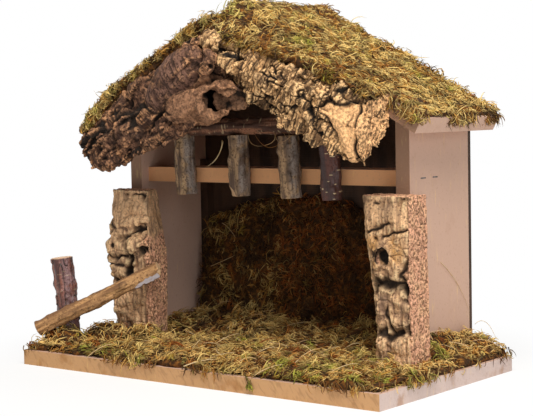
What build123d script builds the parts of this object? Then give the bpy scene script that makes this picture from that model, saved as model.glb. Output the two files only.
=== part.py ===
from build123d import *
import math
import os

# Wooden nativity stable: a small board shelter dressed with cork bark, branches and moss.
# Millimetres, +Z up, +X to the right of the open front, -Y towards the viewer.
# The origin is on the underside of the base board, at its middle.

# Boards
base_width = 350.0
base_depth = 184.0
base_thickness = 12.0
wall_span = 280.0
wall_thickness = 12.0
wall_depth = 84.0
wall_height = 185.0
back_thickness = 4.0
roof_slope = 28.5
roof_thickness = 12.0
eave_reach = 20.0
roof_front_reach = 24.0
batten_height = 12.0
batten_depth = 36.0
batten_setback = 9.0
batten_drop = 51.0
strip_width = 8.0
strip_depth = 8.0
strip_height = 150.0

# Branches
stick_radius = 8.0
stick_length = 49.0
stick_lean = 2.5
stick_1_offset = -80.0
stick_2_offset = -23.0
stick_3_offset = 28.0
stick_4_offset = 67.0
log_left_radius = 5.5
log_right_radius = 7.5
log_left_reach = 112.0
log_right_reach = 82.0
log_drop = 5.0
rail_radius = 6.0
rail_low_inset = 12.0
rail_side_inset = 5.0
rail_low_rise = 16.0
rail_touch_rise = 61.0
rail_overrun = 10.0
rail_saw_angle = 35.0
fence_radius = 8.5
fence_height = 74.0
fence_lean = 5.0
fence_along_rail = 24.0
fence_trim = 1.0

# Cork bark slabs on the roof front
bark_top_depth = 28.0
bark_belly_share = 0.45
bark_foot_share = 0.9
bark_rear_drop = 6.0
bark_tuck_gap = 2.0
bark_tuck_height = 14.0
bark_plate_pitch = 10.0
bark_relief = 2.4
bark_step_along = 2.3
bark_step_across = 1.7
knot_length = 42.0
knot_root_radius = 17.0
knot_mouth_radius = 13.0
knot_bore_radius = 9.0
knot_bore_depth = 22.0
knot_past_ridge = 8.0
knot_drop = 75.0
knot_forward = 40.0
knot_turn = 40.0

# Each bark station: distance from the ridge, drop of the top edge and of the
# lower edge below the roof surface, and depth in front of the roof boards. A
# distance below zero lies past the ridge, under the end of the other slab
left_bark_stations = (
    (-10.0, 47.0, 78.0, 33.0),
    (-3.0, 44.0, 81.0, 36.0),
    (2.0, 22.0, 82.0, 38.0),
    (22.0, 17.0, 86.0, 41.0),
    (45.0, 16.0, 84.0, 42.0),
    (72.0, 15.0, 75.0, 42.0),
    (97.0, 13.0, 74.0, 42.0),
    (125.0, 19.0, 58.0, 40.0),
    (139.0, 20.0, 40.0, 34.0),
)
right_bark_stations = (
    (4.0, 24.0, 40.0, 31.0),
    (28.0, 21.0, 54.0, 36.0),
    (60.0, 13.0, 55.0, 40.0),
    (89.0, 6.0, 55.0, 41.0),
    (115.0, 1.0, 52.0, 42.0),
    (139.0, 0.0, 49.0, 40.0),
)

# Swellings of the left slab: distance from the ridge, drop of the middle below the
# roof surface, distance in front of the roof boards, then half length, depth and height
left_bark_swellings = (
    (37.0, 40.0, 37.0, 31.0, 11.0, 15.0),
    (24.0, 27.0, 35.0, 16.0, 6.0, 7.0),
    (1.0, 48.0, 39.0, 6.0, 5.5, 6.5),
    (62.0, 50.0, 37.0, 13.0, 9.0, 9.0),
    (50.0, 68.0, 37.0, 16.0, 7.0, 6.0),
    (76.0, 23.0, 32.0, 15.0, 8.0, 9.0),
    (84.0, 51.0, 36.0, 14.0, 9.0, 15.0),
    (105.0, 59.0, 32.0, 17.0, 11.0, 12.0),
    (126.0, 34.0, 26.0, 15.0, 14.0, 12.0),
)
swelling_sides = 8
swelling_rings = 4
swelling_end_turn = 60.0

# Cork bark posts, each station: height, left and right edges measured from the
# middle of the wall, depth in front of the wall, and how far the front is skewed
left_post_stations = (
    (0.0, -12.0, 31.0, 27.0, 8.0),
    (48.0, -15.0, 33.0, 30.0, 9.0),
    (75.0, -21.0, 33.0, 31.0, 9.0),
    (105.0, -18.0, 27.0, 27.0, 9.0),
    (128.0, -19.0, 23.0, 22.0, 9.0),
)
right_post_stations = (
    (0.0, -10.0, 23.0, 25.0, 0.0),
    (40.0, -12.0, 22.0, 25.0, 0.0),
    (75.0, -16.0, 21.0, 26.0, 0.0),
    (110.0, -21.0, 21.0, 25.0, 0.0),
    (129.0, -23.0, 20.0, 24.0, 0.0),
)
post_corner_cut = 5.0
post_knot_radius = 6.0
post_knot_depth = 6.0
post_knot_rise = 84.0
post_knot_inset = 3.0

# Moss
roof_moss_depth = 4.5
ridge_moss_share = 0.35
ground_moss_depth = 9.0
ground_moss_inset = 3.0
inside_moss_rear_rise = 24.0
side_moss_wall_rise = 16.0
back_moss_height = 98.0
back_moss_depth = 22.0
back_moss_top_depth = 8.0
moss_edge_share = 0.45
moss_ripple = 0.22
moss_step_across = 2.1
moss_step_along = 1.3
back_moss_calm = 0.3

# Staples
staple_crown = 7.0
staple_wire = 1.0
staple_leg = 19.0
panel_staple_leg = 13.0
batten_staple_spread = 17.0
base_staple_spread = 56.0
panel_staple_spread = 62.0
roof_staple_spread = 26.0
roof_staple_shift = 2.0

# Clearances
glue_gap = 0.3
staple_clearance = 0.05

# Derived planes and edges
base_top = base_thickness
base_front = -base_depth / 2
base_rear = base_depth / 2
base_side = base_width / 2
back_front = base_rear - back_thickness
wall_front = back_front - wall_depth
wall_out = wall_span / 2
wall_in = wall_out - wall_thickness
wall_mid = wall_out - wall_thickness / 2
wall_top = base_top + wall_height
slope = math.radians(roof_slope)
roof_front = wall_front - roof_front_reach
eave = wall_out + eave_reach
batten_front = wall_front + batten_setback
batten_low = wall_top - batten_drop
log_axis_z = wall_top - log_drop
branch_y = batten_front - stick_radius - glue_gap
bark_top_y = roof_front - bark_top_depth
sides = {"left": -1, "right": 1}
stick_offsets = (stick_1_offset, stick_2_offset, stick_3_offset, stick_4_offset)


def roof_under(x):
    """Height of the roof boards' underside."""
    return wall_top + (wall_out - abs(x)) * math.tan(slope)


def roof_surface(x):
    """Height of the roof boards' upper face."""
    return roof_under(x) + roof_thickness / math.cos(slope)


def log_radius(x):
    """Radius of the tapering lintel log."""
    share = (x + log_left_reach) / (log_left_reach + log_right_reach)
    return log_left_radius + share * (log_right_radius - log_left_radius)


def uneven(i, j):
    """Steady up-and-down factor for the moss."""
    return 1 + moss_ripple * math.sin(moss_step_across * i + moss_step_along * j)


def spread(start, end, steps):
    """Evenly spaced values, both ends included."""
    return [start + (end - start) * k / steps for k in range(steps + 1)]


def keep(piece, name):
    """Names a finished piece and writes its file."""
    piece.part.label = name
    export_step(piece.part, f"parts/{name}.step")


def section(plane, points):
    """One closed outline on a plane."""
    with BuildSketch(plane) as outline:
        with BuildLine():
            Polyline(*points, close=True)
        make_face()
    return outline.sketch


def across(points, front, rear):
    """A piece of one outline in X and Z, from front to rear."""
    with BuildPart() as piece:
        extrude(section(Plane.XZ.offset(-rear), points), amount=rear - front)
    return piece


def staples(plane, spots, leg, clearance, mode=Mode.ADD):
    """Wire staples sunk flush in a plane, or the slots that they sit in."""
    wire = staple_wire + 2 * clearance
    crown = staple_crown + 2 * clearance
    leg_x = (staple_crown - staple_wire) / 2
    with BuildSketch(plane) as crowns:
        with Locations(*spots):
            Rectangle(crown, wire)
    extrude(crowns.sketch, amount=-staple_wire - clearance, mode=mode)
    with BuildSketch(plane.offset(-staple_wire)) as legs:
        with Locations(*[(x + s * leg_x, y) for x, y in spots for s in (-1, 1)]):
            Rectangle(wire, wire)
    extrude(legs.sketch, amount=-leg - clearance, mode=mode)


# Staple planes: crowns run along Y on walls, base and roof, and upright on the back
base_staple_spots = [(y, 0) for y in (-base_staple_spread / 2, base_staple_spread / 2)]
batten_staple_spots = [(y, 0) for y in (-batten_staple_spread / 2, batten_staple_spread / 2)]
roof_staple_spots = [(y, 0) for y in (-roof_staple_spread, 0, roof_staple_spread)]
panel_staple_spots = [(z, 0) for z in (-panel_staple_spread, 0, panel_staple_spread)]
wall_middle_y = (wall_front + back_front) / 2


def base_plane(side):
    return Plane(origin=(side * wall_mid, wall_middle_y, 0), x_dir=(0, 1, 0), z_dir=(0, 0, -1))


def batten_plane(side):
    middle = (side * wall_out, batten_front + batten_depth / 2, batten_low + batten_height / 2)
    return Plane(origin=middle, x_dir=(0, 1, 0), z_dir=(side, 0, 0))


def panel_plane(side):
    middle = (side * wall_mid, base_rear, base_top + wall_height / 2)
    return Plane(origin=middle, x_dir=(0, 0, 1), z_dir=(0, 1, 0))


def roof_plane(side):
    lean_x = roof_thickness * math.sin(slope)
    lean_z = roof_thickness * math.cos(slope)
    foot_x = wall_mid + roof_staple_shift
    middle = (side * (foot_x + lean_x), wall_middle_y, roof_under(foot_x) + lean_z)
    return Plane(origin=middle, x_dir=(0, 1, 0), z_dir=(side * math.sin(slope), 0, math.cos(slope)))


def all_staples(plane_of, spots, leg, name):
    with BuildPart() as group:
        for side in sides.values():
            staples(plane_of(side), spots, leg, 0)
    keep(group, name)


os.makedirs("parts", exist_ok=True)

# Base board
with BuildPart() as base_board:
    with BuildSketch():
        Rectangle(base_width, base_depth)
    extrude(amount=base_thickness)
    for side in sides.values():
        staples(base_plane(side), base_staple_spots, staple_leg, staple_clearance, Mode.SUBTRACT)
keep(base_board, "base_board")

# Walls, bevelled to the roof slope
for word, side in sides.items():
    with BuildPart() as wall:
        wall_outline = (
            (side * wall_in, base_top),
            (side * wall_out, base_top),
            (side * wall_out, roof_under(wall_out)),
            (side * wall_in, roof_under(wall_in)),
        )
        extrude(section(Plane.XZ.offset(-back_front), wall_outline), amount=wall_depth)
        staples(base_plane(side), base_staple_spots, staple_leg, staple_clearance, Mode.SUBTRACT)
        staples(batten_plane(side), batten_staple_spots, staple_leg, staple_clearance, Mode.SUBTRACT)
        staples(panel_plane(side), panel_staple_spots, panel_staple_leg, staple_clearance, Mode.SUBTRACT)
        staples(roof_plane(side), roof_staple_spots, staple_leg, staple_clearance, Mode.SUBTRACT)
    keep(wall, f"{word}_wall")

# Back panel, a gable across the rear edges of the walls
with BuildPart() as back_panel:
    gable = (
        (-wall_out, base_top),
        (wall_out, base_top),
        (wall_out, roof_under(wall_out)),
        (0, roof_under(0)),
        (-wall_out, roof_under(wall_out)),
    )
    extrude(section(Plane.XZ.offset(-base_rear), gable), amount=back_thickness)
    for side in sides.values():
        staples(panel_plane(side), panel_staple_spots, panel_staple_leg, staple_clearance, Mode.SUBTRACT)
keep(back_panel, "back_panel")

# Strips in the inner rear corners
for word, side in sides.items():
    strip_outline = (
        (side * wall_in, base_top),
        (side * (wall_in - strip_width), base_top),
        (side * (wall_in - strip_width), base_top + strip_height),
        (side * wall_in, base_top + strip_height),
    )
    keep(across(strip_outline, back_front - strip_depth, back_front), f"rear_corner_strip_{word}")

# Batten laid flat between the walls
with BuildPart() as front_batten:
    with BuildSketch(Plane.XY.offset(batten_low)):
        with Locations((0, batten_front + batten_depth / 2)):
            Rectangle(2 * wall_in, batten_depth)
    extrude(amount=batten_height)
    for side in sides.values():
        staples(batten_plane(side), batten_staple_spots, staple_leg, staple_clearance, Mode.SUBTRACT)
keep(front_batten, "front_batten")

# Roof boards, mitred at the ridge
for word, side in sides.items():
    with BuildPart() as roof_board:
        roof_outline = (
            (0, roof_under(0)),
            (side * eave, roof_under(eave)),
            (
                side * (eave + roof_thickness * math.sin(slope)),
                roof_under(eave) + roof_thickness * math.cos(slope),
            ),
            (0, roof_surface(0)),
        )
        roof_section = section(Plane.XZ.offset(-base_rear), roof_outline)
        extrude(roof_section, amount=base_rear - roof_front)
        staples(roof_plane(side), roof_staple_spots, staple_leg, staple_clearance, Mode.SUBTRACT)
    keep(roof_board, f"{word}_roof_board")

# Lintel log, tapering to the left
with BuildPart() as lintel_log:
    for x in (-log_left_reach, log_right_reach):
        with BuildSketch(Plane.YZ.offset(x)):
            with Locations((branch_y, log_axis_z)):
                Circle(log_radius(x))
    loft()
keep(lintel_log, "lintel_log")

# Hanging sticks, their tops under the log and their backs on the batten
for number, stick_x in enumerate(stick_offsets, start=1):
    lean = math.radians(stick_lean)
    stick_top = log_axis_z - log_radius(stick_x) - glue_gap - stick_radius * math.sin(lean)
    stick_plane = Plane(
        origin=(stick_x, branch_y, stick_top),
        x_dir=(math.cos(lean), 0, math.sin(lean)),
        z_dir=(math.sin(lean), 0, -math.cos(lean)),
    )
    with BuildPart() as stick:
        with BuildSketch(stick_plane):
            Circle(stick_radius)
        extrude(amount=stick_length)
    keep(stick, f"hanging_stick_{number}")


def plate_step(i, j):
    """How far a cork plate stands out or in."""
    return bark_relief * math.sin(bark_step_along * i + bark_step_across * j)


def plate_stations(stations):
    """Stations of a slab one plate apart, in line between the given ones."""
    finer = [stations[0]]
    for start, end in zip(stations, stations[1:]):
        steps = max(1, round((end[0] - start[0]) / bark_plate_pitch))
        columns = [spread(a, b, steps)[1:] for a, b in zip(start, end)]
        finer.extend(zip(*columns))
    return finer


def swelling(side, distance, drop, forward, half_length, half_depth, half_height):
    """A faceted lump that lies along the slope."""
    middle = Vector(side * distance, roof_front - forward, roof_surface(distance) - drop)
    downhill = Vector(side * math.cos(slope), 0, -math.sin(slope))
    rings = []
    for turn in spread(-swelling_end_turn, swelling_end_turn, swelling_rings):
        shift = half_length * math.sin(math.radians(turn))
        share = math.cos(math.radians(turn))
        plane = Plane(origin=middle + downhill * shift, x_dir=(0, 1, 0), z_dir=downhill)
        corners = [
            (
                share * half_depth * math.cos(2 * math.pi * k / swelling_sides),
                share * half_height * math.sin(2 * math.pi * k / swelling_sides),
            )
            for k in range(swelling_sides)
        ]
        rings.append(section(plane, corners))
    loft(rings, ruled=True)


def roof_bark(side, stations):
    """A cork slab in front of a roof board, drawn plate by plate along the slope."""
    sections = []
    for i, (distance, top_drop, low_drop, depth) in enumerate(plate_stations(stations)):
        line = roof_surface(distance)
        belly = line - top_drop - bark_belly_share * (low_drop - top_drop)
        foot = line - low_drop - plate_step(i, 0)
        foot_y = roof_front - bark_foot_share * depth
        belly_y = roof_front - depth
        rear_top = line
        rear_foot = roof_under(distance) - bark_rear_drop
        if distance < 0:
            rear_top = rear_foot - bark_tuck_gap
            rear_foot = rear_top - bark_tuck_height
        bark_outline = (
            (roof_front, rear_top),
            (bark_top_y, line - top_drop),
            ((bark_top_y + belly_y) / 2 - plate_step(i, 1), (line - top_drop + belly) / 2),
            (belly_y - plate_step(i, 2), belly),
            ((belly_y + foot_y) / 2 - plate_step(i, 3), (belly + foot) / 2),
            (foot_y - plate_step(i, 4), foot),
            (roof_front, rear_foot),
        )
        sections.append(section(Plane.YZ.offset(side * distance), bark_outline))
    loft(sections, ruled=True)


# Roof barks, the left one with swellings and a hollow branch stub
with BuildPart() as right_roof_bark:
    roof_bark(1, right_bark_stations)
keep(right_roof_bark, "right_roof_bark")

with BuildPart() as left_roof_bark:
    roof_bark(-1, left_bark_stations)
    for lump in left_bark_swellings:
        swelling(-1, *lump)
    knot_heading = math.radians(knot_turn)
    knot_mouth = Plane(
        origin=(knot_past_ridge, roof_front - knot_forward, roof_surface(0) - knot_drop),
        z_dir=(math.cos(knot_heading), -math.sin(knot_heading), 0),
    )
    with BuildSketch(knot_mouth.offset(-knot_length)):
        Circle(knot_root_radius)
    with BuildSketch(knot_mouth):
        Circle(knot_mouth_radius)
    loft()
    with BuildSketch(knot_mouth):
        Circle(knot_bore_radius)
    extrude(amount=-knot_bore_depth, mode=Mode.SUBTRACT)
keep(left_roof_bark, "left_roof_bark")


def bark_post(middle, stations):
    """A cork post against the front edge of a wall, drawn upwards section by section."""
    sections = []
    for height, left, right, depth, skew in stations:
        front = wall_front - depth
        post_outline = (
            (middle + left, wall_front),
            (middle + left + skew, front + post_corner_cut),
            (middle + left + skew + post_corner_cut, front),
            (middle + right + skew, front),
            (middle + right, wall_front),
        )
        sections.append(section(Plane.XY.offset(base_top + height), post_outline))
    loft(sections, ruled=True)


# Bark posts, the right one with a knot hole in its front
with BuildPart() as left_bark_post:
    bark_post(-wall_mid, left_post_stations)
keep(left_bark_post, "left_bark_post")

with BuildPart() as right_bark_post:
    bark_post(wall_mid, right_post_stations)
    knot_front = wall_front - max(station[3] for station in right_post_stations)
    knot_hole_place = (wall_mid - post_knot_inset, base_top + post_knot_rise)
    with BuildSketch(Plane.XZ.offset(-knot_front)):
        with Locations(knot_hole_place):
            Circle(post_knot_radius)
    extrude(amount=-post_knot_depth, mode=Mode.SUBTRACT)
keep(right_bark_post, "right_bark_post")

# Fence rail, from the front left corner of the base to the front of the left post
touch_station = left_post_stations[2]
touch_corner = Vector(
    -wall_mid + touch_station[2] + touch_station[4],
    wall_front - touch_station[3],
    base_top + rail_touch_rise,
)
rail_low = Vector(
    rail_side_inset - base_side,
    base_front + rail_low_inset,
    base_top + rail_low_rise,
)
corner_run = Vector(touch_corner.X - rail_low.X, touch_corner.Y - rail_low.Y, 0)
rail_aside = math.asin((rail_radius + glue_gap) / corner_run.length)
rail_heading = math.atan2(corner_run.Y, corner_run.X) - rail_aside
rail_flat = corner_run.length * math.cos(rail_aside)
rail_run = Vector(math.cos(rail_heading), math.sin(rail_heading), 0)
rail_direction = (rail_run * rail_flat + Vector(0, 0, touch_corner.Z - rail_low.Z)).normalized()
rail_length = math.hypot(rail_flat, touch_corner.Z - rail_low.Z) + rail_overrun
rail_plane = Plane(origin=rail_low, z_dir=rail_direction)
rail_end = rail_low + rail_direction * rail_length
saw_turn = math.radians(rail_saw_angle)
saw_facing = rail_direction * math.sin(saw_turn) - Vector(0, 0, 1) * math.cos(saw_turn)

with BuildPart() as fence_rail:
    with BuildSketch(rail_plane):
        Circle(rail_radius)
    extrude(amount=rail_length)
    split(bisect_by=Plane(origin=rail_end, z_dir=saw_facing), keep=Keep.BOTTOM)
keep(fence_rail, "fence_rail")

# Fence post, leaning along the rail and standing behind it
rail_left = Vector(-rail_run.Y, rail_run.X, 0)
fence_foot = (
    Vector(rail_low.X, rail_low.Y, base_top)
    + rail_run * fence_along_rail
    + rail_left * (rail_radius + fence_radius + glue_gap)
)
fence_turn = math.radians(fence_lean)
fence_direction = Vector(0, 0, 1) * math.cos(fence_turn) - rail_run * math.sin(fence_turn)
fence_buried = fence_radius * math.tan(fence_turn) + fence_trim
fence_plane = Plane(origin=fence_foot - fence_direction * fence_buried, z_dir=fence_direction)

with BuildPart() as fence_post:
    with BuildSketch(fence_plane):
        Circle(fence_radius)
    extrude(amount=fence_height + fence_buried)
    split(bisect_by=Plane.XY.offset(base_top), keep=Keep.TOP)
keep(fence_post, "fence_post")


def roof_moss_rise(x):
    """Depth of the roof moss, thinner on the ridge."""
    return roof_moss_depth * (ridge_moss_share if x == 0 else 1)


def roof_moss(side, stations):
    """Moss on a roof board, and a tongue of it on the top of the bark in front."""
    eave_top = eave + roof_thickness * math.sin(slope)
    own_side = [station[:2] for station in stations if station[0] > 0]
    bed = []
    for i, x in enumerate([0] + [distance for distance, drop in own_side] + [eave_top]):
        line = roof_surface(x)
        over = [
            (y, line + roof_moss_rise(x) * uneven(i, j))
            for j, y in enumerate(spread(base_rear, roof_front, 4))
        ]
        bed.append(section(Plane.YZ.offset(side * x), over + [(roof_front, line), (base_rear, line)]))
    loft(bed, ruled=True)
    tongue = []
    for i, (x, drop) in enumerate([(0, own_side[0][1])] + own_side):
        line = roof_surface(x)
        tongue_outline = (
            (roof_front, line + glue_gap),
            (bark_top_y, line - drop + glue_gap),
            (bark_top_y, line - drop + roof_moss_rise(x) * uneven(i, 5)),
            (roof_front, line + roof_moss_rise(x) * uneven(i, 4)),
        )
        tongue.append(section(Plane.YZ.offset(side * x), tongue_outline))
    loft(tongue, ruled=True)


# Roof moss
with BuildPart() as roof_moss_left:
    roof_moss(-1, left_bark_stations)
keep(roof_moss_left, "roof_moss_left")

with BuildPart() as roof_moss_right:
    roof_moss(1, right_bark_stations)
keep(roof_moss_right, "roof_moss_right")


def moss_bed(x_values, y_values, rise):
    """A bed of moss on the base, its top following a rise over X and Y."""
    sections = []
    for i, x in enumerate(x_values):
        over = [(y, base_top + rise(x, y) * uneven(i, j)) for j, y in enumerate(y_values)]
        under = [(y_values[-1], base_top), (y_values[0], base_top)]
        sections.append(section(Plane.YZ.offset(x), over + under))
    loft(sections, ruled=True)


def front_rise(x, y):
    near_edge = min(base_side - abs(x), y - base_front)
    return ground_moss_depth * (moss_edge_share if near_edge <= ground_moss_inset else 1)


def inside_rise(x, y):
    share = (y - wall_front) / wall_depth
    return ground_moss_depth + share * (inside_moss_rear_rise - ground_moss_depth)


def side_rise(x, y):
    share = (base_side - abs(x)) / (base_side - wall_out)
    return ground_moss_depth * moss_edge_share + share * side_moss_wall_rise


def post_slot(middle, stations):
    """Clears the foot of a bark post."""
    low = stations[:2]
    left = min(station[1] for station in low)
    right = max(station[2] + station[4] for station in low)
    depth = max(station[3] for station in low)
    corner = (middle + left - glue_gap, wall_front - depth - glue_gap)
    with BuildSketch(Plane.XY.offset(base_top)) as slot:
        with Locations(corner):
            Rectangle(right - left + 2 * glue_gap, depth + glue_gap, align=(Align.MIN, Align.MIN))
    extrude(slot.sketch, amount=wall_height, mode=Mode.SUBTRACT)


# Ground moss in front of the walls, cleared for the posts and the fence
moss_side = base_side - ground_moss_inset
back_moss_front = back_front - back_moss_depth
with BuildPart() as ground_moss_front:
    moss_bed(
        spread(-moss_side, moss_side, 8),
        spread(base_front + ground_moss_inset, wall_front, 5),
        front_rise,
    )
    post_slot(-wall_mid, left_post_stations)
    post_slot(wall_mid, right_post_stations)
    with BuildSketch(fence_plane):
        Circle(fence_radius + glue_gap)
    extrude(amount=fence_height, mode=Mode.SUBTRACT)
keep(ground_moss_front, "ground_moss_front")

# Ground moss between the walls, rising to the back
with BuildPart() as ground_moss_inside:
    moss_bed(
        spread(glue_gap - wall_in, wall_in - glue_gap, 6),
        spread(wall_front, back_moss_front, 4),
        inside_rise,
    )
keep(ground_moss_inside, "ground_moss_inside")

# Ground moss outside the walls
for word, side in sides.items():
    edges = sorted((side * (wall_out + glue_gap), side * moss_side))
    with BuildPart() as side_moss:
        moss_bed(
            spread(*edges, 2),
            spread(wall_front, base_rear - ground_moss_inset, 4),
            side_rise,
        )
    keep(side_moss, f"ground_moss_{word}")

# Moss on the inner face of the back panel
with BuildPart() as back_moss:
    back_moss_side = wall_in - strip_width - glue_gap
    tufts = []
    for i, x in enumerate(spread(-back_moss_side, back_moss_side, 6)):
        top = base_top + back_moss_height * uneven(back_moss_calm * i, 0)
        middle = (base_top + top) / 2
        tuft = (
            (back_front, base_top),
            (back_moss_front, base_top),
            (back_moss_front, middle),
            (back_front - back_moss_top_depth * uneven(i, 1), top),
            (back_front, top),
        )
        tufts.append(section(Plane.YZ.offset(x), tuft))
    loft(tufts, ruled=True)
keep(back_moss, "back_moss")

# Staples
all_staples(base_plane, base_staple_spots, staple_leg, "base_staples")
all_staples(batten_plane, batten_staple_spots, staple_leg, "batten_staples")
all_staples(panel_plane, panel_staple_spots, panel_staple_leg, "back_panel_staples")
all_staples(roof_plane, roof_staple_spots, staple_leg, "roof_staples")
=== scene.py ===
"""Dresses a small wooden nativity stable: boards, cork bark, branches, dried moss and straw."""

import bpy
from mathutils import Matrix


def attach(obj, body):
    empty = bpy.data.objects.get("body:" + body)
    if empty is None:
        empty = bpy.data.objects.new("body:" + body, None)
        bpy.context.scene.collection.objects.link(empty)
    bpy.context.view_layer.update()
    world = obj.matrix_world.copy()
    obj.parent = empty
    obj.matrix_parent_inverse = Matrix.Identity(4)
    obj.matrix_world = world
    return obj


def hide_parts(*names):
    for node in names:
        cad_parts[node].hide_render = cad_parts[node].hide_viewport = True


bl_info = {
    "name": "Wooden Nativity Stable",
    "version": (1, 0, 0),
    "blender": (4, 5, 0),
    "location": "View3D > Sidebar > Stable",
    "description": "Dresses a board stable with cork bark, branches, dried moss and straw",
    "category": "Object",
}

import itertools
import math
import typing

import bmesh
import bpy
import numpy as np
from mathutils import Matrix, Vector

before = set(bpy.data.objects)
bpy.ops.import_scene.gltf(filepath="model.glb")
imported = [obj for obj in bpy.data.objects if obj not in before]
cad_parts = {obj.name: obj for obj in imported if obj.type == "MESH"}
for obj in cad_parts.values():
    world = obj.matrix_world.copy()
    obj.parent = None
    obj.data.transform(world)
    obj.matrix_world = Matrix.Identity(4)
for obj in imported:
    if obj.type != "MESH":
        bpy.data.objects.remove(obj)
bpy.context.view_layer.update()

MM = 0.001
ROOT = "root"
UP = np.array((0.0, 0.0, 1.0))
FRONT = np.array((0.0, -1.0, 0.0))
ASLANT = FRONT + UP
RIGHT = np.array((1.0, 0.0, 0.0))
RIGHTWARD = 0.3 * UP + RIGHT
LEFTWARD = 0.3 * UP - RIGHT
PICTURE_WIDTH = 533
SENSOR = 36.0
ROOF_SLOPE = math.radians(28.5)


def paint(red, green, blue):
    """Linear colour of a screen colour given from 0 to 255."""
    shares = (red / 255, green / 255, blue / 255)
    return tuple(c / 12.92 if c <= 0.04045 else ((c + 0.055) / 1.055) ** 2.4 for c in shares)


def colour(name, description, default):
    """A colour that a user would change."""
    return bpy.props.FloatVectorProperty(
        name=name, description=description, default=default, subtype="COLOR", min=0, max=1
    )


def length(name, description, default):
    """A length that a user would change."""
    return bpy.props.FloatProperty(
        name=name, description=description, default=default, unit="LENGTH", precision=5
    )


def angle(name, description, degrees):
    """An angle that a user would change."""
    return bpy.props.FloatProperty(
        name=name, description=description, default=math.radians(degrees), unit="ROTATION"
    )


def power(name, description, default):
    """The power of a lamp."""
    return bpy.props.FloatProperty(name=name, description=description, default=default, unit="POWER")


def number(name, description, default):
    """A plain number that a user would change."""
    return bpy.props.FloatProperty(name=name, description=description, default=default)


class StableSizes(bpy.types.PropertyGroup):
    """Sizes of the surface detail."""

    bark_detail: length("Bark detail", "Size of the finest step of a roof bark", 0.75 * MM)
    post_detail: length("Post detail", "Size of the finest step of a bark post", 0.55 * MM)
    branch_detail: length("Branch detail", "Size of the finest step of a branch", 0.45 * MM)
    moss_detail: length("Moss detail", "Size of the finest step of a moss felt", 2.0 * MM)
    plate_size: length("Plate size", "Width of one cork plate", 11.0 * MM)
    plate_step: length("Plate step", "How far neighbouring plates differ in height", 2.6 * MM)
    crack_depth: length("Crack depth", "Depth of the cracks between plates", 2.4 * MM)
    lump_size: length("Lump size", "Width of one lump of craggy bark", 12.0 * MM)
    lump_height: length("Lump height", "Height of one lump of craggy bark", 4.4 * MM)
    pore_size: length("Pore size", "Width of the pores of sawn cork", 1.0 * MM)
    pore_depth: length("Pore depth", "Depth of the pores of sawn cork", 1.0 * MM)
    clump_size: length("Clump size", "Width of a clump of moss strands", 7.0 * MM)
    strand_length: length("Strand length", "Mean length of a moss strand", 7.5 * MM)
    strand_radius: length("Strand radius", "Radius of a moss strand at its root", 0.42 * MM)
    strand_spacing: length("Strand spacing", "Mean distance between moss strands", 1.5 * MM)
    straw_radius: length("Straw radius", "Radius of a loose straw", 0.42 * MM)


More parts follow.
